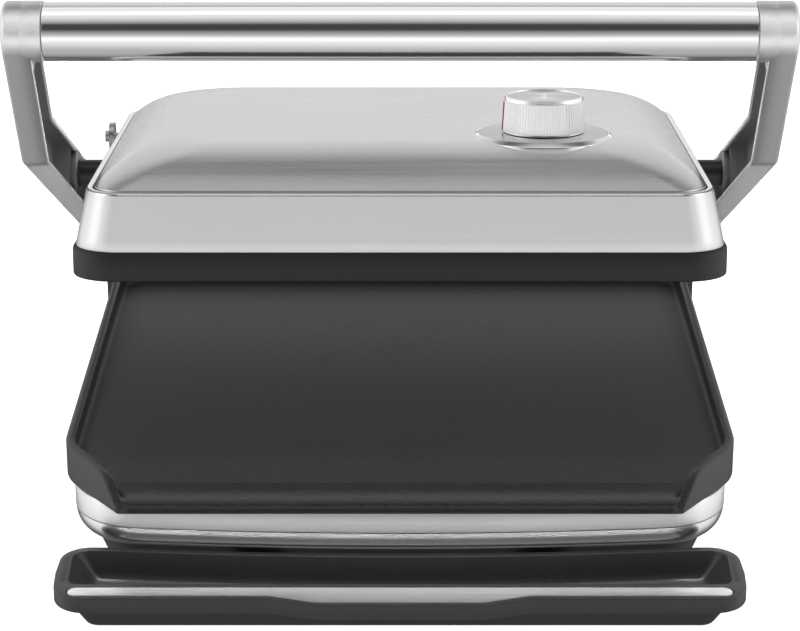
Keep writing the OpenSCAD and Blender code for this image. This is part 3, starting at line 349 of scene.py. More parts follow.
def panelRing(d, h):
    r = panelCorner + lid["cornerGrow"] * d / lid["edge"]
    pts = roundRect(lid["width"] / 2 - panelIn - d, panelDeep + d, lid["depth"] - panelDeep - d,
                    r, lid["cornerSteps"])
    return [onLid(x, s, h) for x, s in pts]


def domeHeight(d):
    return domeBase + (domeTop - domeBase) * (1 - (1 - d / lid["edge"]) ** lid["swell"])


rings = [panelRing(0, lid["lip"] - 3), panelRing(0, domeBase - 0.5), panelRing(0, domeBase)]
for i in range(1, lid["domeSteps"] + 1):
    d = lid["edge"] * (i / lid["domeSteps"]) ** 1.5
    rings.append(panelRing(d, domeHeight(d)))
addPiece("lid_top_skin", [loft(rings, capStart=False)], lidSteel, "lid", ["lid_top_panel"],
         sharp=60)

foot, high, lip, fold = lid["footIn"], lid["foot"], lid["lipIn"], lid["fold"]
profile = [(foot + 0.3, 0, high - 0.6)]
for i in range(lid["bandSteps"] + 1):
    share = i / lid["bandSteps"]
    profile.append((foot + lid["bandLean"] * share, 0, high + lid["bandRise"] * share))
profile += [(fold[0], 0, fold[1]), (fold[0], lid["sheet"], fold[1]), (foot, lid["sheet"], high),
            (foot, lid["sheet"], high - 0.6)]
lidBand = addPiece("lid_band_skin", [loft([bandRing(*p) for p in profile], loop=True)],
                   bandSteel, "lid", ["lid_band"], 50)
high = lid["lip"]
profile = [(fold[0], 0, fold[1]), (7.2, 0, high - 0.8), (7.5, 0, high - 0.3), (lip, 0, high),
           (lip, 1.9, high), (lip, 2.2, high - 0.2), (lip, lid["lipWidth"], high - 0.6),
           (lip, lid["lipWidth"], high - 2.5), (fold[0], 1.3, high - 2.0)]
lidLip = addPiece("lid_lip_skin", [loft([bandRing(*p) for p in profile], loop=True)], lipSteel,
                  "lid", [], 50)

high = lid["rimHeight"]
profile = [(0.9, 0), (0.35, 0.25), (0, 0.9), (0, high - 1.1), (0.3, high - 0.4), (0.9, high),
           (lid["rimIn"], high), (lid["rimIn"], high - 2.5), (2.6, high - 2.5), (2.6, 0.3),
           (2.2, 0)]
addPiece("lid_rim_moulding", [loft([lidRing(t, h) for t, h in profile], loop=True)], rimBlack,
         "lid", ["lid_rim"], 50)
print("lid made")


# A pattern's tree has a count, lengths in metres and a material, and its mesh is baked once
def newTree(name, lengths):
    tree = bpy.data.node_groups.new(name, "GeometryNodeTree")
    kinds = [("Geometry", "Geometry"), ("Count", "Int")]
    kinds += [(label, "Float") for label in lengths] + [("Material", "Material")]
    for label, kind in kinds:
        tree.interface.new_socket(name=label, in_out="INPUT", socket_type="NodeSocket" + kind)
    tree.interface.new_socket(name="Geometry", in_out="OUTPUT", socket_type="NodeSocketGeometry")
    return tree, addNode(tree, "NodeGroupInput", {}).outputs


def bakeTree(tree, last, given, values, name):
    real = addNode(tree, "GeometryNodeRealizeInstances", {"Geometry": last})
    paint = addNode(tree, "GeometryNodeSetMaterial",
                    {"Geometry": real.outputs["Geometry"], "Material": given["Material"]})
    addNode(tree, "NodeGroupOutput", {"Geometry": paint.outputs["Geometry"]})
    seed = bpy.data.meshes.new(name + "_points")
    seed.from_pydata([(0, 0, 0)], [], [])
    host = bpy.data.objects.new(name + "_host", seed)
    bpy.context.scene.collection.objects.link(host)
    maker = host.modifiers.new("maker", "NODES")
    maker.node_group = tree
    for item in tree.interface.items_tree:
        if item.in_out == "INPUT" and item.name in values:
            maker[item.identifier] = values[item.name]
    bpy.context.view_layer.update()
    shape = host.evaluated_get(bpy.context.evaluated_depsgraph_get())
    mesh = bpy.data.meshes.new_from_object(shape)
    mesh.name = name
    host.modifiers.clear()
    bpy.data.objects.remove(host)
    return mesh


# Dial: a disc with a polished bevel, and a fluted knob with a spun top
dial.update({"discR": 32.3, "ringR": 35.5, "lift": 0.9, "knobR": 20.9, "knobTop": 20.0,
             "knobHeight": 18.3, "knobBase": 62.85, "flutes": 84, "fluteR": 0.50,
             "fluteSides": 12, "fluteFoot": 1.2, "fluteTop": 16.3, "fluteSink": 0.3,
             "marker": 188.0, "markerHalf": 0.028, "markerIn": -0.4, "markerOut": 0.36})


def aboutDial(x, y, h):
    return onLid(dial["x"] + x, dial["s"] + y, h)


def onKnob(x, y, h):
    return aboutDial(x, y, dial["knobBase"] + h)


top, discR, ringR = dial["base"] + dial["lift"], dial["discR"], dial["ringR"]
profile = [(3.5, top - 1.0), (3.5, top), (discR - 0.6, top), (discR - 0.2, top - 0.08),
           (discR, top - 0.35), (discR, top - 1.0)]
addPiece("dial_disc", [lathe(profile, aboutDial, loop=True)], discSteel, "lid", ["dial_ring"],
         50)
profile = [(ringR - 2.8, top - 1.2), (ringR - 2.8, top - 0.5), (ringR - 2.65, top - 0.22),
           (ringR - 2.4, top - 0.15), (ringR - 0.4, top - 1.75), (ringR - 0.1, top - 2.05),
           (ringR, top - 2.5), (ringR, top - 5.8), (ringR - 1.3, top - 5.8),
           (ringR - 1.3, top - 3.0)]
addPiece("dial_bevel", [lathe(profile, aboutDial, loop=True)], polishedSteel, "lid", [],
         50)

r0, r1, up = dial["knobR"], dial["knobTop"], dial["knobHeight"]
profile = [(r0 - 2.4, 0.1), (r0 - 0.5, 0.1), (r0 - 0.1, 0.35), (r0, 0.8), (r0, 1.2),
           (r0 - 0.35, 1.5), (r1 - 0.25, up - 2.3), (r1 + 0.05, up - 2.0), (r1, up - 1.7),
           (r1 - 0.55, up - 0.55), (r1 - 0.8, up - 0.15), (r1 - 1.2, up), (r1 - 1.5, up - 0.1),
           (r1 - 1.7, up - 0.5), (r1 - 1.8, up - 1.2), (2.0, up - 1.2)]
knobSides = [addPiece("knob_body", [lathe(profile, onKnob)], knobMetal, "dial_knob", ["knob"],
                      28)]
profile = [(1.0, up - 1.1), (r1 - 2.3, up - 1.1), (r1 - 1.95, up - 0.75), (r1 - 2.1, up - 0.4),
           (r1 - 2.6, up - 0.3), (1.2, up - 0.3), (0.6, up - 0.32)]
addPiece("knob_top_disc", [lathe(profile, onKnob)], knobTop, "dial_knob", ["knob_cap"],
         30)

# Flutes: upright cylinders round a circle, drawn in towards the top by the taper
tree, given = newTree("knob flutes", ("Radius", "Height", "Flute Radius", "Taper"))
circle = addNode(tree, "GeometryNodeMeshCircle",
                 {"Vertices": given["Count"], "Radius": given["Radius"]})
flute = addNode(tree, "GeometryNodeMeshCylinder", {
    "Vertices": dial["fluteSides"], "Radius": given["Flute Radius"], "Depth": given["Height"]})
spread = addNode(tree, "GeometryNodeInstanceOnPoints",
                 {"Points": circle.outputs["Mesh"], "Instance": flute.outputs["Mesh"]})
solid = addNode(tree, "GeometryNodeRealizeInstances", {"Geometry": spread.outputs["Instances"]})
where = addNode(tree, "GeometryNodeInputPosition", {}).outputs["Position"]
height = addNode(tree, "ShaderNodeSeparateXYZ", {"Vector": where}).outputs["Z"]
shrink = compute(tree, "MULTIPLY_ADD", height, given["Taper"], 1.0)
scale = addNode(tree, "ShaderNodeCombineXYZ", {"X": shrink, "Y": shrink, "Z": 1.0})
narrow = compute(tree, "MULTIPLY", where, scale.outputs["Vector"], vector=True)
move = addNode(tree, "GeometryNodeSetPosition",
               {"Geometry": solid.outputs["Geometry"], "Position": narrow})
length = dial["fluteTop"] - dial["fluteFoot"]
mesh = bakeTree(tree, move.outputs["Geometry"], given, {
    "Count": dial["flutes"], "Height": length / 1000,
    "Radius": ((r0 + r1) / 2 - dial["fluteSink"]) / 1000,
    "Flute Radius": dial["fluteR"] / 1000, "Taper": -(r0 - r1) / length / (r0 + r1) * 2 * 1000,
    "Material": knobMetal}, "knob_flutes")
mesh.transform(lidMatrix(dial["x"], dial["s"],
                         dial["knobBase"] + dial["fluteFoot"] + length / 2))
knobSides.append(finishPiece("knob_flutes", mesh, knobMetal, "dial_knob", [], 50))

a, da = math.radians(dial["marker"]), dial["markerHalf"]
low, high = dial["markerIn"], dial["markerOut"]
bar = []
for z, grow in ((0.9, 0.25), (up - 2.6, 0.1)):
    r = r0 + (r1 - r0) * z / up + grow
    for b, dr in ((a - da, low), (a - da, high), (a + da, high), (a + da, low)):
        bar.append(onKnob((r + dr) * math.cos(b), (r + dr) * math.sin(b), z))
addPiece("knob_marker", [(bar, [(0, 1, 2, 3), (7, 6, 5, 4), (0, 4, 5, 1), (1, 5, 6, 2),
                                (2, 6, 7, 3), (3, 7, 4, 0)])], markerRed, "dial_knob", [],
         30)
print("dial and knob made")

# Ribs of the upper plate: rounded bars set on the CAD plate's own ribs
ribs = {"count": 17, "span": 281.0, "start": 27.0, "length": 202.0, "root": 6.9, "crest": 3.0,
        "height": 6.85, "bottom": 1.0, "soft": 1.1, "softSteps": 4}
tree, given = newTree("plate ribs", ("Pitch", "Length", "Root", "Crest", "Height"))
section = addNode(tree, "GeometryNodeCurvePrimitiveQuadrilateral", {}, mode="TRAPEZOID")
feed(tree, section, {"Offset": 0.0, "Bottom Width": given["Root"], "Top Width": given["Crest"],
                     "Height": given["Height"]})
soft = addNode(tree, "GeometryNodeFilletCurve", {
    "Curve": section.outputs["Curve"], "Count": ribs["softSteps"],
    "Radius": ribs["soft"] / 1000}, mode="POLY")
run = addNode(tree, "ShaderNodeCombineXYZ", {"Y": given["Length"]})
path = addNode(tree, "GeometryNodeCurvePrimitiveLine", {"End": run.outputs["Vector"]})
sweep = addNode(tree, "GeometryNodeCurveToMesh", {
    "Curve": path.outputs["Curve"], "Profile Curve": soft.outputs["Curve"], "Fill Caps": True})
step = addNode(tree, "ShaderNodeCombineXYZ", {"X": given["Pitch"]})
row = addNode(tree, "GeometryNodeMeshLine",
              {"Count": given["Count"], "Offset": step.outputs["Vector"]})
spread = addNode(tree, "GeometryNodeInstanceOnPoints",
                 {"Points": row.outputs["Mesh"], "Instance": sweep.outputs["Mesh"]})
mesh = bakeTree(tree, spread.outputs["Instances"], given, {
    "Count": ribs["count"], "Pitch": ribs["span"] / (ribs["count"] - 1) / 1000,
    "Length": ribs["length"] / 1000, "Root": ribs["root"] / 1000,
    "Crest": ribs["crest"] / 1000, "Height": ribs["height"] / 1000,
    "Material": nonstick}, "upper_plate_ribs")
lows = [min(v.co[i] for v in mesh.vertices) for i in range(3)]
mesh.transform(Matrix.Translation((-ribs["span"] / 2000 - lows[0] - ribs["root"] / 2000,
                                   -lows[1], -lows[2])))
mesh.transform(lidMatrix(0, ribs["start"], ribs["bottom"] - ribs["height"]))
finishPiece("upper_plate_ribs", mesh, nonstick, "lid", [], 30)
print("upper ribs made")

# Base band: brushed above the fold line, polished where it rolls under
base = {"width": 319.0, "front": 48.5, "bow": 5.7, "corner": 35.0, "back": 251.0,
        "bottom": 19.0, "line": 31.0, "top": 43.0, "rollIn": 9.0, "sheet": 1.2,
        "cornerSteps": 20, "frontSteps": 24, "coveSteps": 12}


def basePath(t):
    x = base["width"] / 2 - base["corner"]
    big = (x * x + base["bow"] ** 2) / (2 * base["bow"])
    cy = big - base["front"]
    near = cy - math.sqrt((big - base["corner"]) ** 2 - x * x)
    lean = math.degrees(math.asin(x / (big - base["corner"])))
    r = base["corner"] - t
    pts = [(-base["width"] / 2 + t, base["back"])]
    pts += arc(-x, near, r, 180, 270 - lean, base["cornerSteps"])
    pts += arc(0, cy, big - t, 270 - lean, 270 + lean, base["frontSteps"])[1:-1]
    pts += arc(x, near, r, 270 + lean, 360, base["cornerSteps"])
    pts += [(base["width"] / 2 - t, base["back"])]
    return pts


def baseLoft(profile):
    return loft([[place(x, y, z) for x, y in basePath(t)] for t, z in profile], loop=True,
                openPath=True)


line, top, sheet = base["line"], base["top"], base["sheet"]
profile = [(0.5, line + 0.1), (0.15, line + 0.25), (0, line + 0.7), (0, top - 0.4), (0.4, top),
           (sheet, top), (sheet, line + 0.1)]
baseBand = addPiece("base_band_skin", [baseLoft(profile)], bandSteel, "base", ["base_band"],
                    50)
profile = []
for i in range(base["coveSteps"] + 1):
    a = math.radians(90 * i / base["coveSteps"])
    profile.append((base["rollIn"] * (1 - math.sin(a)) + 0.12,
                    base["bottom"] + (line - base["bottom"]) * (1 - math.cos(a)) - 0.12))
profile += [(1.4, line - 0.1), (2.0, line - 3.0), (4.8, line - 6.0), (9.1, line - 10.8)]
baseCove = addPiece("base_cove_skin", [baseLoft(profile)], coveSteel, "base", [], 60)
print("base band made")

# Lower plate: a flat floor, a rim that falls in an S to the mouth, and a rounded lip
plate = {"width": 328.0, "back": 256.0, "reach": 52.5, "shoulder": 36.0, "angle": 35.3,
         "rear": 22.0, "skirt": 43.3, "surface": 52.2, "under": 47.2, "top": 62.2, "rim": 4.5,
         "drop": 6.0, "nose": 5.5, "roll": -38.0, "fillet": 2.6, "bandFront": 48.5,
         "tuck": 5.5, "edgeSteps": 26, "turnSteps": 14, "rollSteps": 30, "filletSteps": 6,
         "noseSteps": 24,
         "fall": [(24.5, 0), (20, 0.005), (16.5, 0.02), (14, 0.06), (11.5, 0.12), (9.5, 0.225),
                  (7.5, 0.37), (5.7, 0.55), (4, 0.69), (2, 0.86), (0, 1)]}


def platePath(t):
    sx = plate["width"] / 2 - plate["shoulder"]
    r, a = plate["shoulder"] - t, math.radians(plate["angle"])
    turn = (sx + r * math.cos(a), -r * math.sin(a))
    length = (plate["reach"] - r * math.sin(a)) / math.cos(a)
    left = [length * (1 - i / plate["edgeSteps"]) for i in range(plate["edgeSteps"])]
    half = [(turn[0] - math.sin(a) * d, turn[1] - math.cos(a) * d) for d in left]
    half += arc(sx, 0, r, -plate["angle"], 0, plate["turnSteps"])
    rr = plate["rear"]
    half += arc(plate["width"] / 2 - rr, plate["back"] - rr, rr - t, 0, 90, plate["turnSteps"])
    return half + [(-x, y) for x, y in reversed(half)]


def rimTop(y):
    ahead = y + plate["reach"]
    drop = plate["top"] - plate["surface"] + plate["drop"]
    pts = plate["fall"]
    if ahead >= pts[0][0]:
        return plate["top"]
    for (u0, f0), (u1, f1) in zip(pts, pts[1:]):
        if ahead >= u1:
            return plate["top"] - drop * (f0 + (f1 - f0) * (u0 - ahead) / (u0 - u1))
    return plate["top"] - drop


def rollTop(y):  # the floor falls gently towards the mouth
    ahead = (plate["roll"] - y) / (plate["reach"] + plate["roll"])
    if ahead <= 0:
        return plate["surface"]
    return plate["surface"] - plate["nose"] * (1 - math.sqrt(max(1 - ahead ** 2, 0)))


# the rim's section: rows of distance in, depth below the rim's top, height. A depth of -1 means
# that the height counts, and of -2 that the height also follows the floor's fall
rim, skirt = plate["rim"], plate["skirt"]
section = [(rim + plate["fillet"], -1, plate["under"]), (rim, -1, plate["under"] - 1.2),
           (rim, -1, skirt + 0.3), (rim - 0.6, -1, skirt), (0.7, -1, skirt),
           (0.2, -1, skirt + 0.2), (0, -1, skirt + 0.8), (0, 1.6, 0), (0.12, 1.0, 0),
           (0.45, 0.45, 0), (1.0, 0.12, 0), (1.7, 0, 0), (rim - 1.6, 0, 0),
           (rim - 0.9, 0.12, 0), (rim - 0.4, 0.45, 0), (rim - 0.1, 1.0, 0), (rim, 1.7, 0)]
for i in range(plate["filletSteps"] + 1):
    a = math.radians(90 * i / plate["filletSteps"])
    section.append((rim + plate["fillet"] * (1 - math.cos(a)), -2,
                    plate["surface"] + plate["fillet"] * (1 - math.sin(a))))
rings = []
for t, below, z in section:
    ring = []
    for x, y in platePath(t):
        top = rimTop(y)
        sunk = plate["surface"] - rollTop(y) if below == -2 else 0
        level = top - below if below >= 0 else min(z - sunk, top)
        ring.append(place(x, y, max(level, skirt)))
    rings.append(ring)
rimPart = loft(rings, openPath=True)
noseY = -plate["reach"] + plate["nose"]
noseZ = plate["surface"] - plate["nose"]
inner = [(x, max(y, plate["roll"])) for x, y in platePath(rim + plate["fillet"])
         if y > plate["roll"] - 1.5]
floorPart = flatFace([[place(x, y, plate["surface"]) for x, y in inner]])
underPart = flatFace([[place(x, y, plate["under"]) for x, y in inner]])
nose = []
for i in range(plate["rollSteps"] + 1):
    a = math.radians(90 * i / plate["rollSteps"])
    y = plate["roll"] - (plate["reach"] + plate["roll"]) * math.sin(a)
    nose.append((y, rollTop(y)))
nose += arc(noseY, noseZ, plate["nose"], 186, 250, plate["turnSteps"])
nose += [(-plate["bandFront"] - 0.3, skirt), (noseY + 6, skirt),
         (plate["roll"] + 0.5, plate["surface"] - 1.0), (plate["roll"] + 0.5, plate["surface"])]


def noseHalf(y):  # half the lip's width at y, tucked in under the rim
    lean = math.radians(plate["angle"])
    r = plate["shoulder"] - rim - plate["fillet"]
    return (plate["width"] / 2 - plate["shoulder"] + r * math.cos(lean)
            + (min(y, plate["roll"] + 0.5) + r * math.sin(lean)) * math.tan(lean)
            + plate["tuck"])


nosePart = loft([[place(noseHalf(y) * (2 * i / plate["noseSteps"] - 1), y, z) for y, z in nose]
                 for i in range(plate["noseSteps"] + 1)])
ends = [([ring[i] for ring in rings], [tuple(range(len(rings)))]) for i in (0, -1)]
lowerPlate = addPiece("lower_plate_skin", [rimPart, floorPart, underPart, nosePart] + ends,
                      nonstick, "base", ["lower_plate"], 40)
print("lower plate made")

# Arms: an outline lofted across the arm, with a channel open to the inside
arm = {"top": (6.6, 263.4), "bend": (50.3, 197.6), "foot": (262.0, 93.4), "upper": 28.4,
       "lower": 26.9, "elbow": 5.0, "cap": 14.4, "hub": 14.95, "hubBore": 8.1, "out": 185.0,
       "in": 171.5, "wall": 3.0, "round": 3.0, "bossR": 12.0, "bossX": 170.5, "bossBore": 5.2,
       "pivot": (146.53, 150.24), "spigot": 166.1, "spigotBore": 11.9, "ribs": (0.30, 0.62),
       "capSteps": 32, "elbowSteps": 16, "filletSteps": 8}


def turned(a, b, angle):  # the unit vector a, turned by angle towards b
    return a * math.cos(angle) + (b - b.dot(a) * a).normalized() * math.sin(angle)


def armPath(t):
    top, bend, foot = (Vector(arm[k]) for k in ("top", "bend", "foot"))
    u, v = (bend - top).normalized(), (foot - bend).normalized()
    nu, nv = Vector((-u.y, u.x)), Vector((-v.y, v.x))
    wide, slim = arm["upper"] / 2 - t, arm["lower"] / 2 - t
    capR, hubR = arm["cap"] - t, arm["hub"] - t
    pts = []
    first = math.acos(math.sqrt(max(capR ** 2 - wide ** 2, 0)) / capR)
    for i in range(arm["capSteps"] + 1):
        a = first + (2 * math.pi - 2 * first) * i / arm["capSteps"]
        pts.append(top + capR * (u * math.cos(a) + nu * math.sin(a)))
    turn = u.angle(v)
    for i in range(arm["elbowSteps"] + 1):  # outer side of the elbow
        share = i / arm["elbowSteps"]
        pts.append(bend + turned(-nu, -nv, turn * share) * (wide + (slim - wide) * share))
    first = math.acos(math.sqrt(max(hubR ** 2 - slim ** 2, 0)) / hubR)
    for i in range(arm["capSteps"] + 1):
        a = first + (2 * math.pi - 2 * first) * i / arm["capSteps"]
        pts.append(foot + hubR * (-v * math.cos(a) - nv * math.sin(a)))
    cross = nu.x * nv.y - nu.y * nv.x  # inner side of the elbow, with its fillet
    corner = bend + Vector(((wide * nv.y - slim * nu.y) / cross,
                            (slim * nu.x - wide * nv.x) / cross))
    r = arm["elbow"] + t
    centre = corner + v * r * math.tan(turn / 2) + nv * r
    for i in range(arm["filletSteps"] + 1):
        pts.append(centre + turned(-nv, -nu, turn * i / arm["filletSteps"]) * r)
    return pts


def sideLathe(centre, profile, side, steps=48):  # profile is (distance from the middle, radius)
    return lathe([(r, x) for x, r in profile],
                 lambda y, z, x: place(side * x, centre[0] + y, centre[1] + z), steps)


def sideBox(centre, along, half, x0, x1, side):
    u = Vector(along).normalized()
    n = Vector((-u.y, u.x))
    c = Vector(centre)
    corners = [c + u * half[0] * i + n * half[1] * j
               for i, j in ((-1, -1), (1, -1), (1, 1), (-1, 1))]
    return loft([[place(side * x, p.x, p.y) for p in corners] for x in (x0, x1)])


foot, bend, top = Vector(arm["foot"]), Vector(arm["bend"]), Vector(arm["top"])
webX, inX, wall = arm["out"] - arm["wall"], arm["in"], arm["wall"]
armProfile = [(webX, wall + 0.9), (webX - 0.3, wall + 0.3), (webX - 1.0, wall),
              (inX + 0.6, wall - 0.35), (inX + 0.12, wall - 0.6), (inX, wall - 1.0),
              (inX, 1.3), (inX + 0.35, 0.4), (inX + 1.2, 0)]
for i in range(arm["filletSteps"] + 1):
    a = math.radians(90 * i / arm["filletSteps"])
    armProfile.append((arm["out"] - arm["round"] * (1 - math.sin(a)),
                       arm["round"] * (1 - math.cos(a))))
channel = [(webX - 0.25, 13.0), (webX - 0.2, wall + 1.2), (webX - 0.9, wall + 0.35),
           (webX - 1.8, wall + 0.06), (inX + 1.0, wall + 0.03), (inX + 1.0, wall - 0.2),
           (webX + 0.3, wall - 0.2), (webX + 0.3, 13.0)]
cap, spigot, hub = arm["cap"], arm["spigot"], arm["hub"]
capProfile = [(webX + 1, cap - 0.3), (spigot + 9.9, cap - 0.3), (spigot + 9.5, cap),
              (spigot + 0.9, cap), (spigot + 0.3, cap - 0.15), (spigot, cap - 0.7),
              (spigot, arm["spigotBore"])]
hubProfile = [(webX + 1, hub - 0.35), (inX + 0.8, hub - 0.35), (inX + 0.3, hub - 0.85),
              (inX + 0.3, arm["hubBore"])]
bossX, bossR = arm["bossX"], arm["bossR"]
bossProfile = [(webX - 0.3, bossR), (bossX + 0.7, bossR), (bossX + 0.2, bossR - 0.4),
               (bossX, bossR - 1.2), (bossX, arm["bossBore"])]
castings = []
for s, name in ((-1, "left"), (1, "right")):
    along = (bend - top).normalized()
    parts = [loft([[place(s * x, p.x, p.y) for p in armPath(t)] for x, t in armProfile]),
             sideLathe(arm["top"], capProfile, s, 96),
             sideBox(top + along * 7.6, along, (8.2, 12.6), inX + 0.25, webX + 1, s),
             sideLathe(arm["foot"], hubProfile, s)]
    castings.append(addPiece("arm_" + name + "_casting", parts, castMetal, "arms",
                             ["arm_" + name], 38))
    # the boss, the ribs and a thin lining laid over the channel's inner faces take the darker grey,
    # which is painted shade in the hollow
    parts = [sideLathe(arm["pivot"], bossProfile, s)]
    for share in arm["ribs"]:
        parts.append(sideBox(foot + (bend - foot) * share, bend - foot, (1.2, 11.0), inX + 2,
                             webX - 0.3, s))
    parts.append(loft([[place(s * x, p.x, p.y) for p in armPath(t)] for x, t in channel],
                      loop=True))
    addPiece("arm_" + name + "_channel", parts, shadedRoughCasting, "arms", [], 38)

tube = {"radius": 13.8, "half": 165.8, "wall": 1.5}
half, r = tube["half"], tube["radius"]
profile = [(half - 6, r - tube["wall"]), (half, r - tube["wall"]), (half, r - 0.35),
           (half - 0.12, r - 0.1), (half - 0.4, r)]
profile += [(-x, r) for x, r in reversed(profile)]
handleBar = addPiece("handle_bar", [sideLathe(arm["top"], profile, 1, 96)], tubeSteel, "arms",
                     ["handle_tube"], 40)
print("arms and handle made")

# Drip tray: a flanged trough with a finger grip and a bright strip let into the flange
tray = {"width": 328.0, "front": 88.9, "grip": 6.8, "gripHalf": 40.0, "gripRun": 22.0,
        "gripRound": 14.0, "top": 17.1, "flange": 8.3, "flangeWidth": 14.5, "edge": 4.0,
        "edgeSide": 5.5, "bottom": 0.8, "sideIn": 1.0, "back": 33.875, "bow": 5.7, "bowShare": 0.88,
        "waist": 0.5, "backRound": 14.0, "frontRound": 16.0, "cavityRound": 7.0,
        "stripIn": 8.0, "stripRear": 3.6, "stripFront": 2.4, "groove": 0.6, "tongueX": 70.0,
        "tongueHalf": 12.0, "tongueZ": (3.9, 5.9),
        "tongueRows": ((-46, 0), (-2, 0), (-0.6, 0.5), (0, 1.6))}


def filletPoints(a, p, b, r, n):
    a, p, b = Vector(a), Vector(p), Vector(b)
    u, v = (a - p).normalized(), (b - p).normalized()
    half = u.angle(v) / 2
    c = p + (u + v).normalized() * r / math.sin(half)
    start = p + u * r / math.tan(half) - c
    turn = -1 if u.x * v.y - u.y * v.x > 0 else 1
    a0 = math.atan2(start.y, start.x)
    return [(c.x + r * math.cos(a0 + turn * (math.pi - 2 * half) * i / n),
             c.y + r * math.sin(a0 + turn * (math.pi - 2 * half) * i / n))
            for i in range(n + 1)]


def mirrored(half):
    return half + [(-x, y) for x, y in reversed(half[1:-1])]


# the tray's outline, moved in by t at the sides, f at the front and b at the back
def trayPath(t, f, b, grip, cavity=False):
    w = tray["width"] / 2 - t
    back = -tray["back"] - b
    front = -tray["front"] + f
    waist = back + tray["waist"] * (front - back)
    bw = w - tray["sideIn"] + 0.03 * t
    bow, share = tray["bow"], tray["bowShare"]
    half = [(bw * share * i / 14, back - bow * 1.25 * (1 - (i / 14 * share / 0.9) ** 2))
            for i in range(15)]
    half += filletPoints((bw * 0.8, back - 0.5), (bw, back), (w, waist),
                         max(tray["backRound"] - t, 3), 10)
    gx, gy, shoulder = tray["gripHalf"], front - grip, tray["gripHalf"] + tray["gripRun"]
    if cavity:
        inner = -tray["front"] + tray["flangeWidth"] + f
        half += filletPoints((w - 2, waist + 14), (w - 1.2, inner), (w - 30, inner),
                             max(tray["cavityRound"] - t * 0.3, 3), 10)
        return mirrored(half + [((w - 12) * (1 - i / 8), inner) for i in range(9)])
    half += filletPoints((bw, back), (w, waist), (w - 1.5, front),
                         max(tray["frontRound"] - t, 4), 6)
    half += filletPoints((w, waist), (w - 1.5, front), (shoulder, front),
                         max(tray["frontRound"] - t * 0.6, 3), 12)
    if grip > 0:
        half += filletPoints((w - 1.5, front), (shoulder, front), (gx, gy), tray["gripRound"], 6)
        half += filletPoints((shoulder, front), (gx, gy), (0, gy), tray["gripRound"], 6)
    else:
        half += [(shoulder - 14 * i / 13, front) for i in range(14)]
    return mirrored(half + [(gx * 0.4, gy), (0, gy)])


top, under = tray["top"], tray["top"] - tray["flange"]
edge, edgeSide, grip = tray["edge"], tray["edgeSide"], tray["grip"]
rows = [(0.9, top), (0.35, top - 0.15), (0.08, top - 0.5), (0, top - 1.1), (0, under + 0.9),
        (0.3, under + 0.25), (0.9, under)]
skirtPart = loft([[place(x, y, z) for x, y in trayPath(t, t, t, grip)] for t, z in rows],
                 capStart=False, capEnd=False)
# rows of how far in at the sides, the front and the back, and the height
rows = [(9.5, 0.6, 2, under + 0.3), (9.5, 0.6, 2, under), (11.5, 1.4, 2.9, 6.0),
        (14.0, 2.6, 4.0, 2.6), (15.0, 3.2, 4.6, 1.3), (16.6, 4.4, 6.0, tray["bottom"])]
bodyPart = loft([[place(x, y, z) for x, y in trayPath(t, f, b, 0)] for t, f, b, z in rows],
                capStart=False)
underPart = flatFace([[place(x, y, under) for x, y in trayPath(0.9, 0.9, 0.9, grip)],
                      [place(x, y, under) for x, y in trayPath(9.5, 1.1, 2, 0)]])
rows = [(edgeSide, 0, edge, top), (edgeSide + 0.3, 0.12, edge + 0.2, top - 0.2),
        (edgeSide + 0.6, 0.3, edge + 0.4, top - 0.8), (9.6, 1.2, 5.8, 12.5),
        (13.6, 2.2, 7.2, 7.0), (15.6, 2.8, 8.0, 4.2), (17.2, 3.8, 8.9, 3.3),
        (19.5, 5.8, 11.0, 3.0)]
cavityPart = loft([[place(x, y, z) for x, y in trayPath(t, f, b, 0, True)]
                   for t, f, b, z in rows], capStart=False)


def stripPath(t):
    w = tray["width"] / 2 - tray["stripIn"]
    rear = -tray["front"] + tray["flangeWidth"] - tray["stripRear"]
    side = -tray["front"] + tray["stripFront"]
    deep = side - tray["grip"]
    outer, inner = tray["gripHalf"] + tray["gripRun"] - 1, tray["gripHalf"] - 1
    half = [((w - 4.5) * i / 10, rear - t) for i in range(11)]
    half += arc(w - 4.5, (rear + side) / 2, (rear - side) / 2 - t, 80, -80, 12)
    half += [(w - 20, side + t), (tray["gripHalf"] + 40, side + t)]
    r = tray["frontRound"]
    half += filletPoints((w + 40, side + t), (outer, side + t), (inner, deep + t), r + t, 7)
    half += filletPoints((outer, side + t), (inner, deep + t), (0, deep + t), r - t, 7)
    return mirrored(half + [(10, deep + t), (0, deep + t)])


topPart = flatFace([[place(x, y, top) for x, y in path] for path in (
    trayPath(0.9, 0.9, 0.9, grip), trayPath(edgeSide, 0, edge, 0, True),
    stripPath(-tray["groove"] - 0.15))])
rows = [(-tray["groove"] - 0.15, top), (-tray["groove"], top - 0.15),
        (-tray["groove"], top - 1.0)]
groovePart = loft([[place(x, y, z) for x, y in stripPath(t)] for t, z in rows], capStart=False)
# the body under the flange takes the darker black, which is painted shade under the flange
addPiece("tray_body", [bodyPart], trayMattShaded, "tray", [])
trayTrough = addPiece("tray_trough", [skirtPart, underPart, cavityPart, topPart, groovePart],
                      trayBlack, "tray", ["drip_tray"])
rows = [(0, top - 0.95), (0, top - 0.12), (0.15, top + 0.05), (0.5, top + 0.1)]
trayStrip = addPiece("tray_strip", [loft([[place(x, y, z) for x, y in stripPath(t)]
                                          for t, z in rows])],
                     stripSteel, "tray", ["tray_inlay"], 30)
tongues = []
low, high = tray["tongueZ"]
for s in (-1, 1):
    x0, x1 = (s * tray["tongueX"] + side * tray["tongueHalf"] for side in (-1, 1))
    tongues.append(loft([[place(x, y, z) for x, z in (
        (x0 + inset, low), (x1 - inset, low), (x1 - inset, high - inset * 0.3),
        (x0 + inset, high - inset * 0.3))] for y, inset in tray["tongueRows"]]))
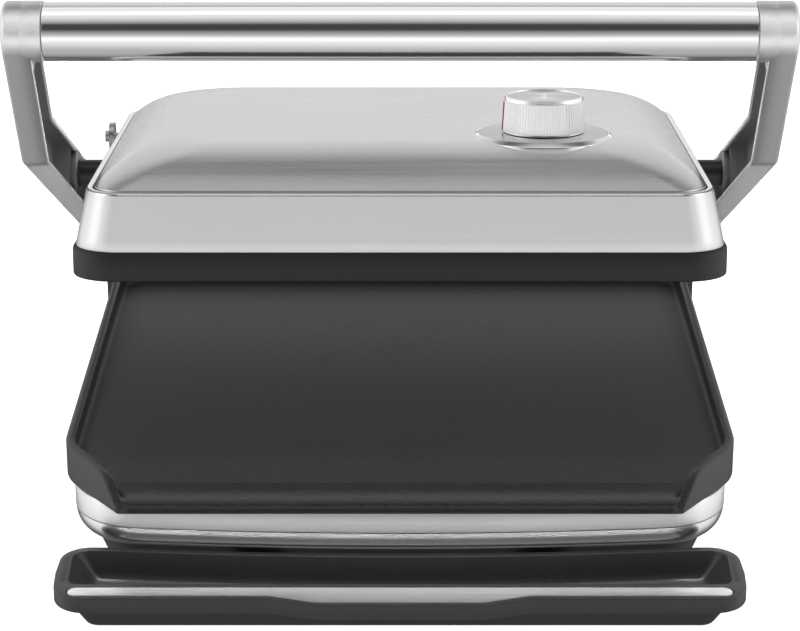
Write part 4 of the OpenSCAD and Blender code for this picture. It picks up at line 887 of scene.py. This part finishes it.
addPiece("tray_tongues", tongues, trayBlack, "tray", [], 30)
print("tray made")

# Floor, camera and soft studio light; the ramp has rows of an angle in degrees and a brightness
stage = {"floor": 6.0, "floorGlow": 0.45, "camera": (0.0, -1.2708, 0.5675), "pitch": 69.336,
         "lens": 117.0, "sensor": 36, "strength": 1.0,
         "ramp": [(-180, 0.3), (-150, 0.15), (-112, 0.12), (-98, 0.34), (-85, 0.46),
                  (-65, 0.50), (-48, 0.70), (-34, 0.90), (-15, 1.0), (-7, 0.76), (1, 0.52),
                  (9, 0.34), (16, 0.20), (21, 0.05), (42, 0.06), (50, 0.20), (58, 0.42),
                  (68, 0.60), (78, 0.84), (86, 0.76), (92, 0.62), (97, 0.46), (102, 0.22),
                  (112, 0.12), (119, 0.24), (126, 0.36), (134, 0.58), (142, 0.72), (160, 0.76),
                  (172, 0.82), (176, 1.15), (180, 1.5)],
         "sides": (0.48, 0.9), "sideLevel": 1.05}
floorMesh = bpy.data.meshes.new("floor")
half = stage["floor"]
floorMesh.from_pydata([(-half, -half, 0), (half, -half, 0), (half, half, 0), (-half, half, 0)],
                      [], [(0, 1, 2, 3)])
floor = bpy.data.objects.new("floor", floorMesh)
bpy.context.scene.collection.objects.link(floor)
pale, tree, shader, coords = newMaterial("pale floor", (0.96, 0.96, 0.96), 0.0, 0.7)
feed(tree, shader, {"Emission Color": (1, 1, 1, 1), "Emission Strength": stage["floorGlow"]})
floorMesh.materials.append(pale)
floor.visible_glossy = False  # the studio round it gives the reflections from below

camera = bpy.data.objects.new("camera", bpy.data.cameras.new("camera"))
camera.data.lens = stage["lens"]
camera.data.sensor_width = stage["sensor"]
camera.location = stage["camera"]
camera.rotation_euler = (math.radians(stage["pitch"]), 0, 0)
bpy.context.scene.collection.objects.link(camera)
bpy.context.scene.camera = camera

# The world's brightness follows the angle from the front horizon over the top to the back
world = bpy.data.worlds.new("studio")
world.use_nodes = True
bpy.context.scene.world = world
tree = world.node_tree
coords = addNode(tree, "ShaderNodeTexCoord", {}).outputs["Generated"]
split = addNode(tree, "ShaderNodeSeparateXYZ", {"Vector": coords}).outputs
angle = compute(tree, "ARCTAN2", split["Z"], compute(tree, "MULTIPLY", split["Y"], -1.0))
ramp = addNode(tree, "ShaderNodeValToRGB",
               {"Fac": mapRange(tree, angle, 0.0, 1.0, -math.pi, math.pi)})
# both sides are bright, so that corners catch light
side = mapRange(tree, compute(tree, "ABSOLUTE", split["X"]), 0.0, 1.0, *stage["sides"])
side.node.interpolation_type = "SMOOTHSTEP"
mixed = addNode(tree, "ShaderNodeMix", {
    "Factor": side, "A": ramp.outputs["Color"],
    "B": (*[stage["sideLevel"]] * 3, 1)}, data_type="RGBA")
feed(tree, tree.nodes["Background"],
     {"Color": mixed.outputs["Result"], "Strength": stage["strength"]})
stops = stage["ramp"]
for index, (degrees, level) in enumerate(stops):
    if index in (0, len(stops) - 1):
        element = ramp.color_ramp.elements[0 if index == 0 else -1]
    else:
        element = ramp.color_ramp.elements.new((degrees + 180) / 360)
    element.color = (level, level, level, 1)

# Lamps: name, place, aim, size, power, the only pieces that it lights, and whether the others
# let its light through
lamps = (
    ("left", (-2.2, -0.5, 0.9), (0, 0, 0.1), (1.2, 1.2), 3, None, False),
    ("right", (2.2, -0.5, 0.9), (0, 0, 0.1), (1.2, 1.2), 3, None, False),
    ("floor wash", (0, 0.6, 3.0), (0, 0.6, 0), (5.0, 5.0), 90, [floor], True),
    ("handle strip", (0, 0.1, 1.04), (0, -0.089, 0.263), (1.6, 0.6), 2.3, [handleBar], False),
    ("handle front", (0, -0.489, 0.956), (0, -0.089, 0.263), (1.6, 0.44), 0.3, [handleBar],
     False),
    ("handle low", (0, -1.05, -0.02), (0, -0.089, 0.263), (1.6, 0.34), 0.3, [handleBar], False),
    ("casting fill", (0, -1.5, 1.6), (0, 0, 0.2), (3.6, 2.2), 19, castings, False),
    ("casting front", (0, -1.6, -0.4), (0, 0, 0.2), (3.2, 0.9), 3, castings, True),
    ("casting low", (0, 0.9, -0.45), (0, 0, 0.15), (1.6, 0.9), 2, castings, True),
    ("knob fill", (0, -1.6, 0.5), (0.07, 0, 0.2), (2.6, 1.6), 3.6, knobSides, False),
    ("band fill", (0, -1.9, 0.32), (0, -0.1, 0.15), (4.4, 0.62), 8.2, [lidBand], False),
    ("lip strip", (0, -0.75, 1.1), (0, -0.07, 0.165), (1.2, 1.3), 2.8, [lidLip], False),
    ("low fill", (0, -0.95, -0.42), (0, -0.1, 0.04), (2.4, 0.5), 2, [baseBand], True),
    ("cove fill", (0, -0.95, -0.5), (0, -0.1, 0.03), (2.4, 0.36), 1.7, [baseCove], True),
    ("lip glow", (0, 0.15, 0.87), (0, -0.14, 0.05), (1.5, 0.26), 2.9, [lowerPlate], True),
    ("strip fill", (0, 1.2, 0.52), (0, -0.18, 0.017), (1.8, 0.9), 2.5, [trayStrip], True),
    ("tray fill", (0, -0.3, 1.5), (0, -0.15, 0), (1.5, 1.0), 46, [trayTrough], True))
for name, location, target, size, power, lit, through in lamps:
    data = bpy.data.lights.new(name, "AREA")
    data.shape = "RECTANGLE"
    data.size, data.size_y = size
    data.energy = power
    lamp = bpy.data.objects.new(name, data)
    lamp.location = location
    lamp.rotation_euler = (Vector(target) - Vector(location)).to_track_quat("-Z", "Y").to_euler()
    bpy.context.scene.collection.objects.link(lamp)
    if lit:
        group = bpy.data.collections.new(name + " pieces")
        for piece in lit:
            group.objects.link(piece)
        lamp.light_linking.receiver_collection = group
    if through:
        lamp.light_linking.blocker_collection = group
        data.cycles.use_multiple_importance_sampling = False
bpy.context.scene.view_settings.view_transform = "Standard"
print("stage made")
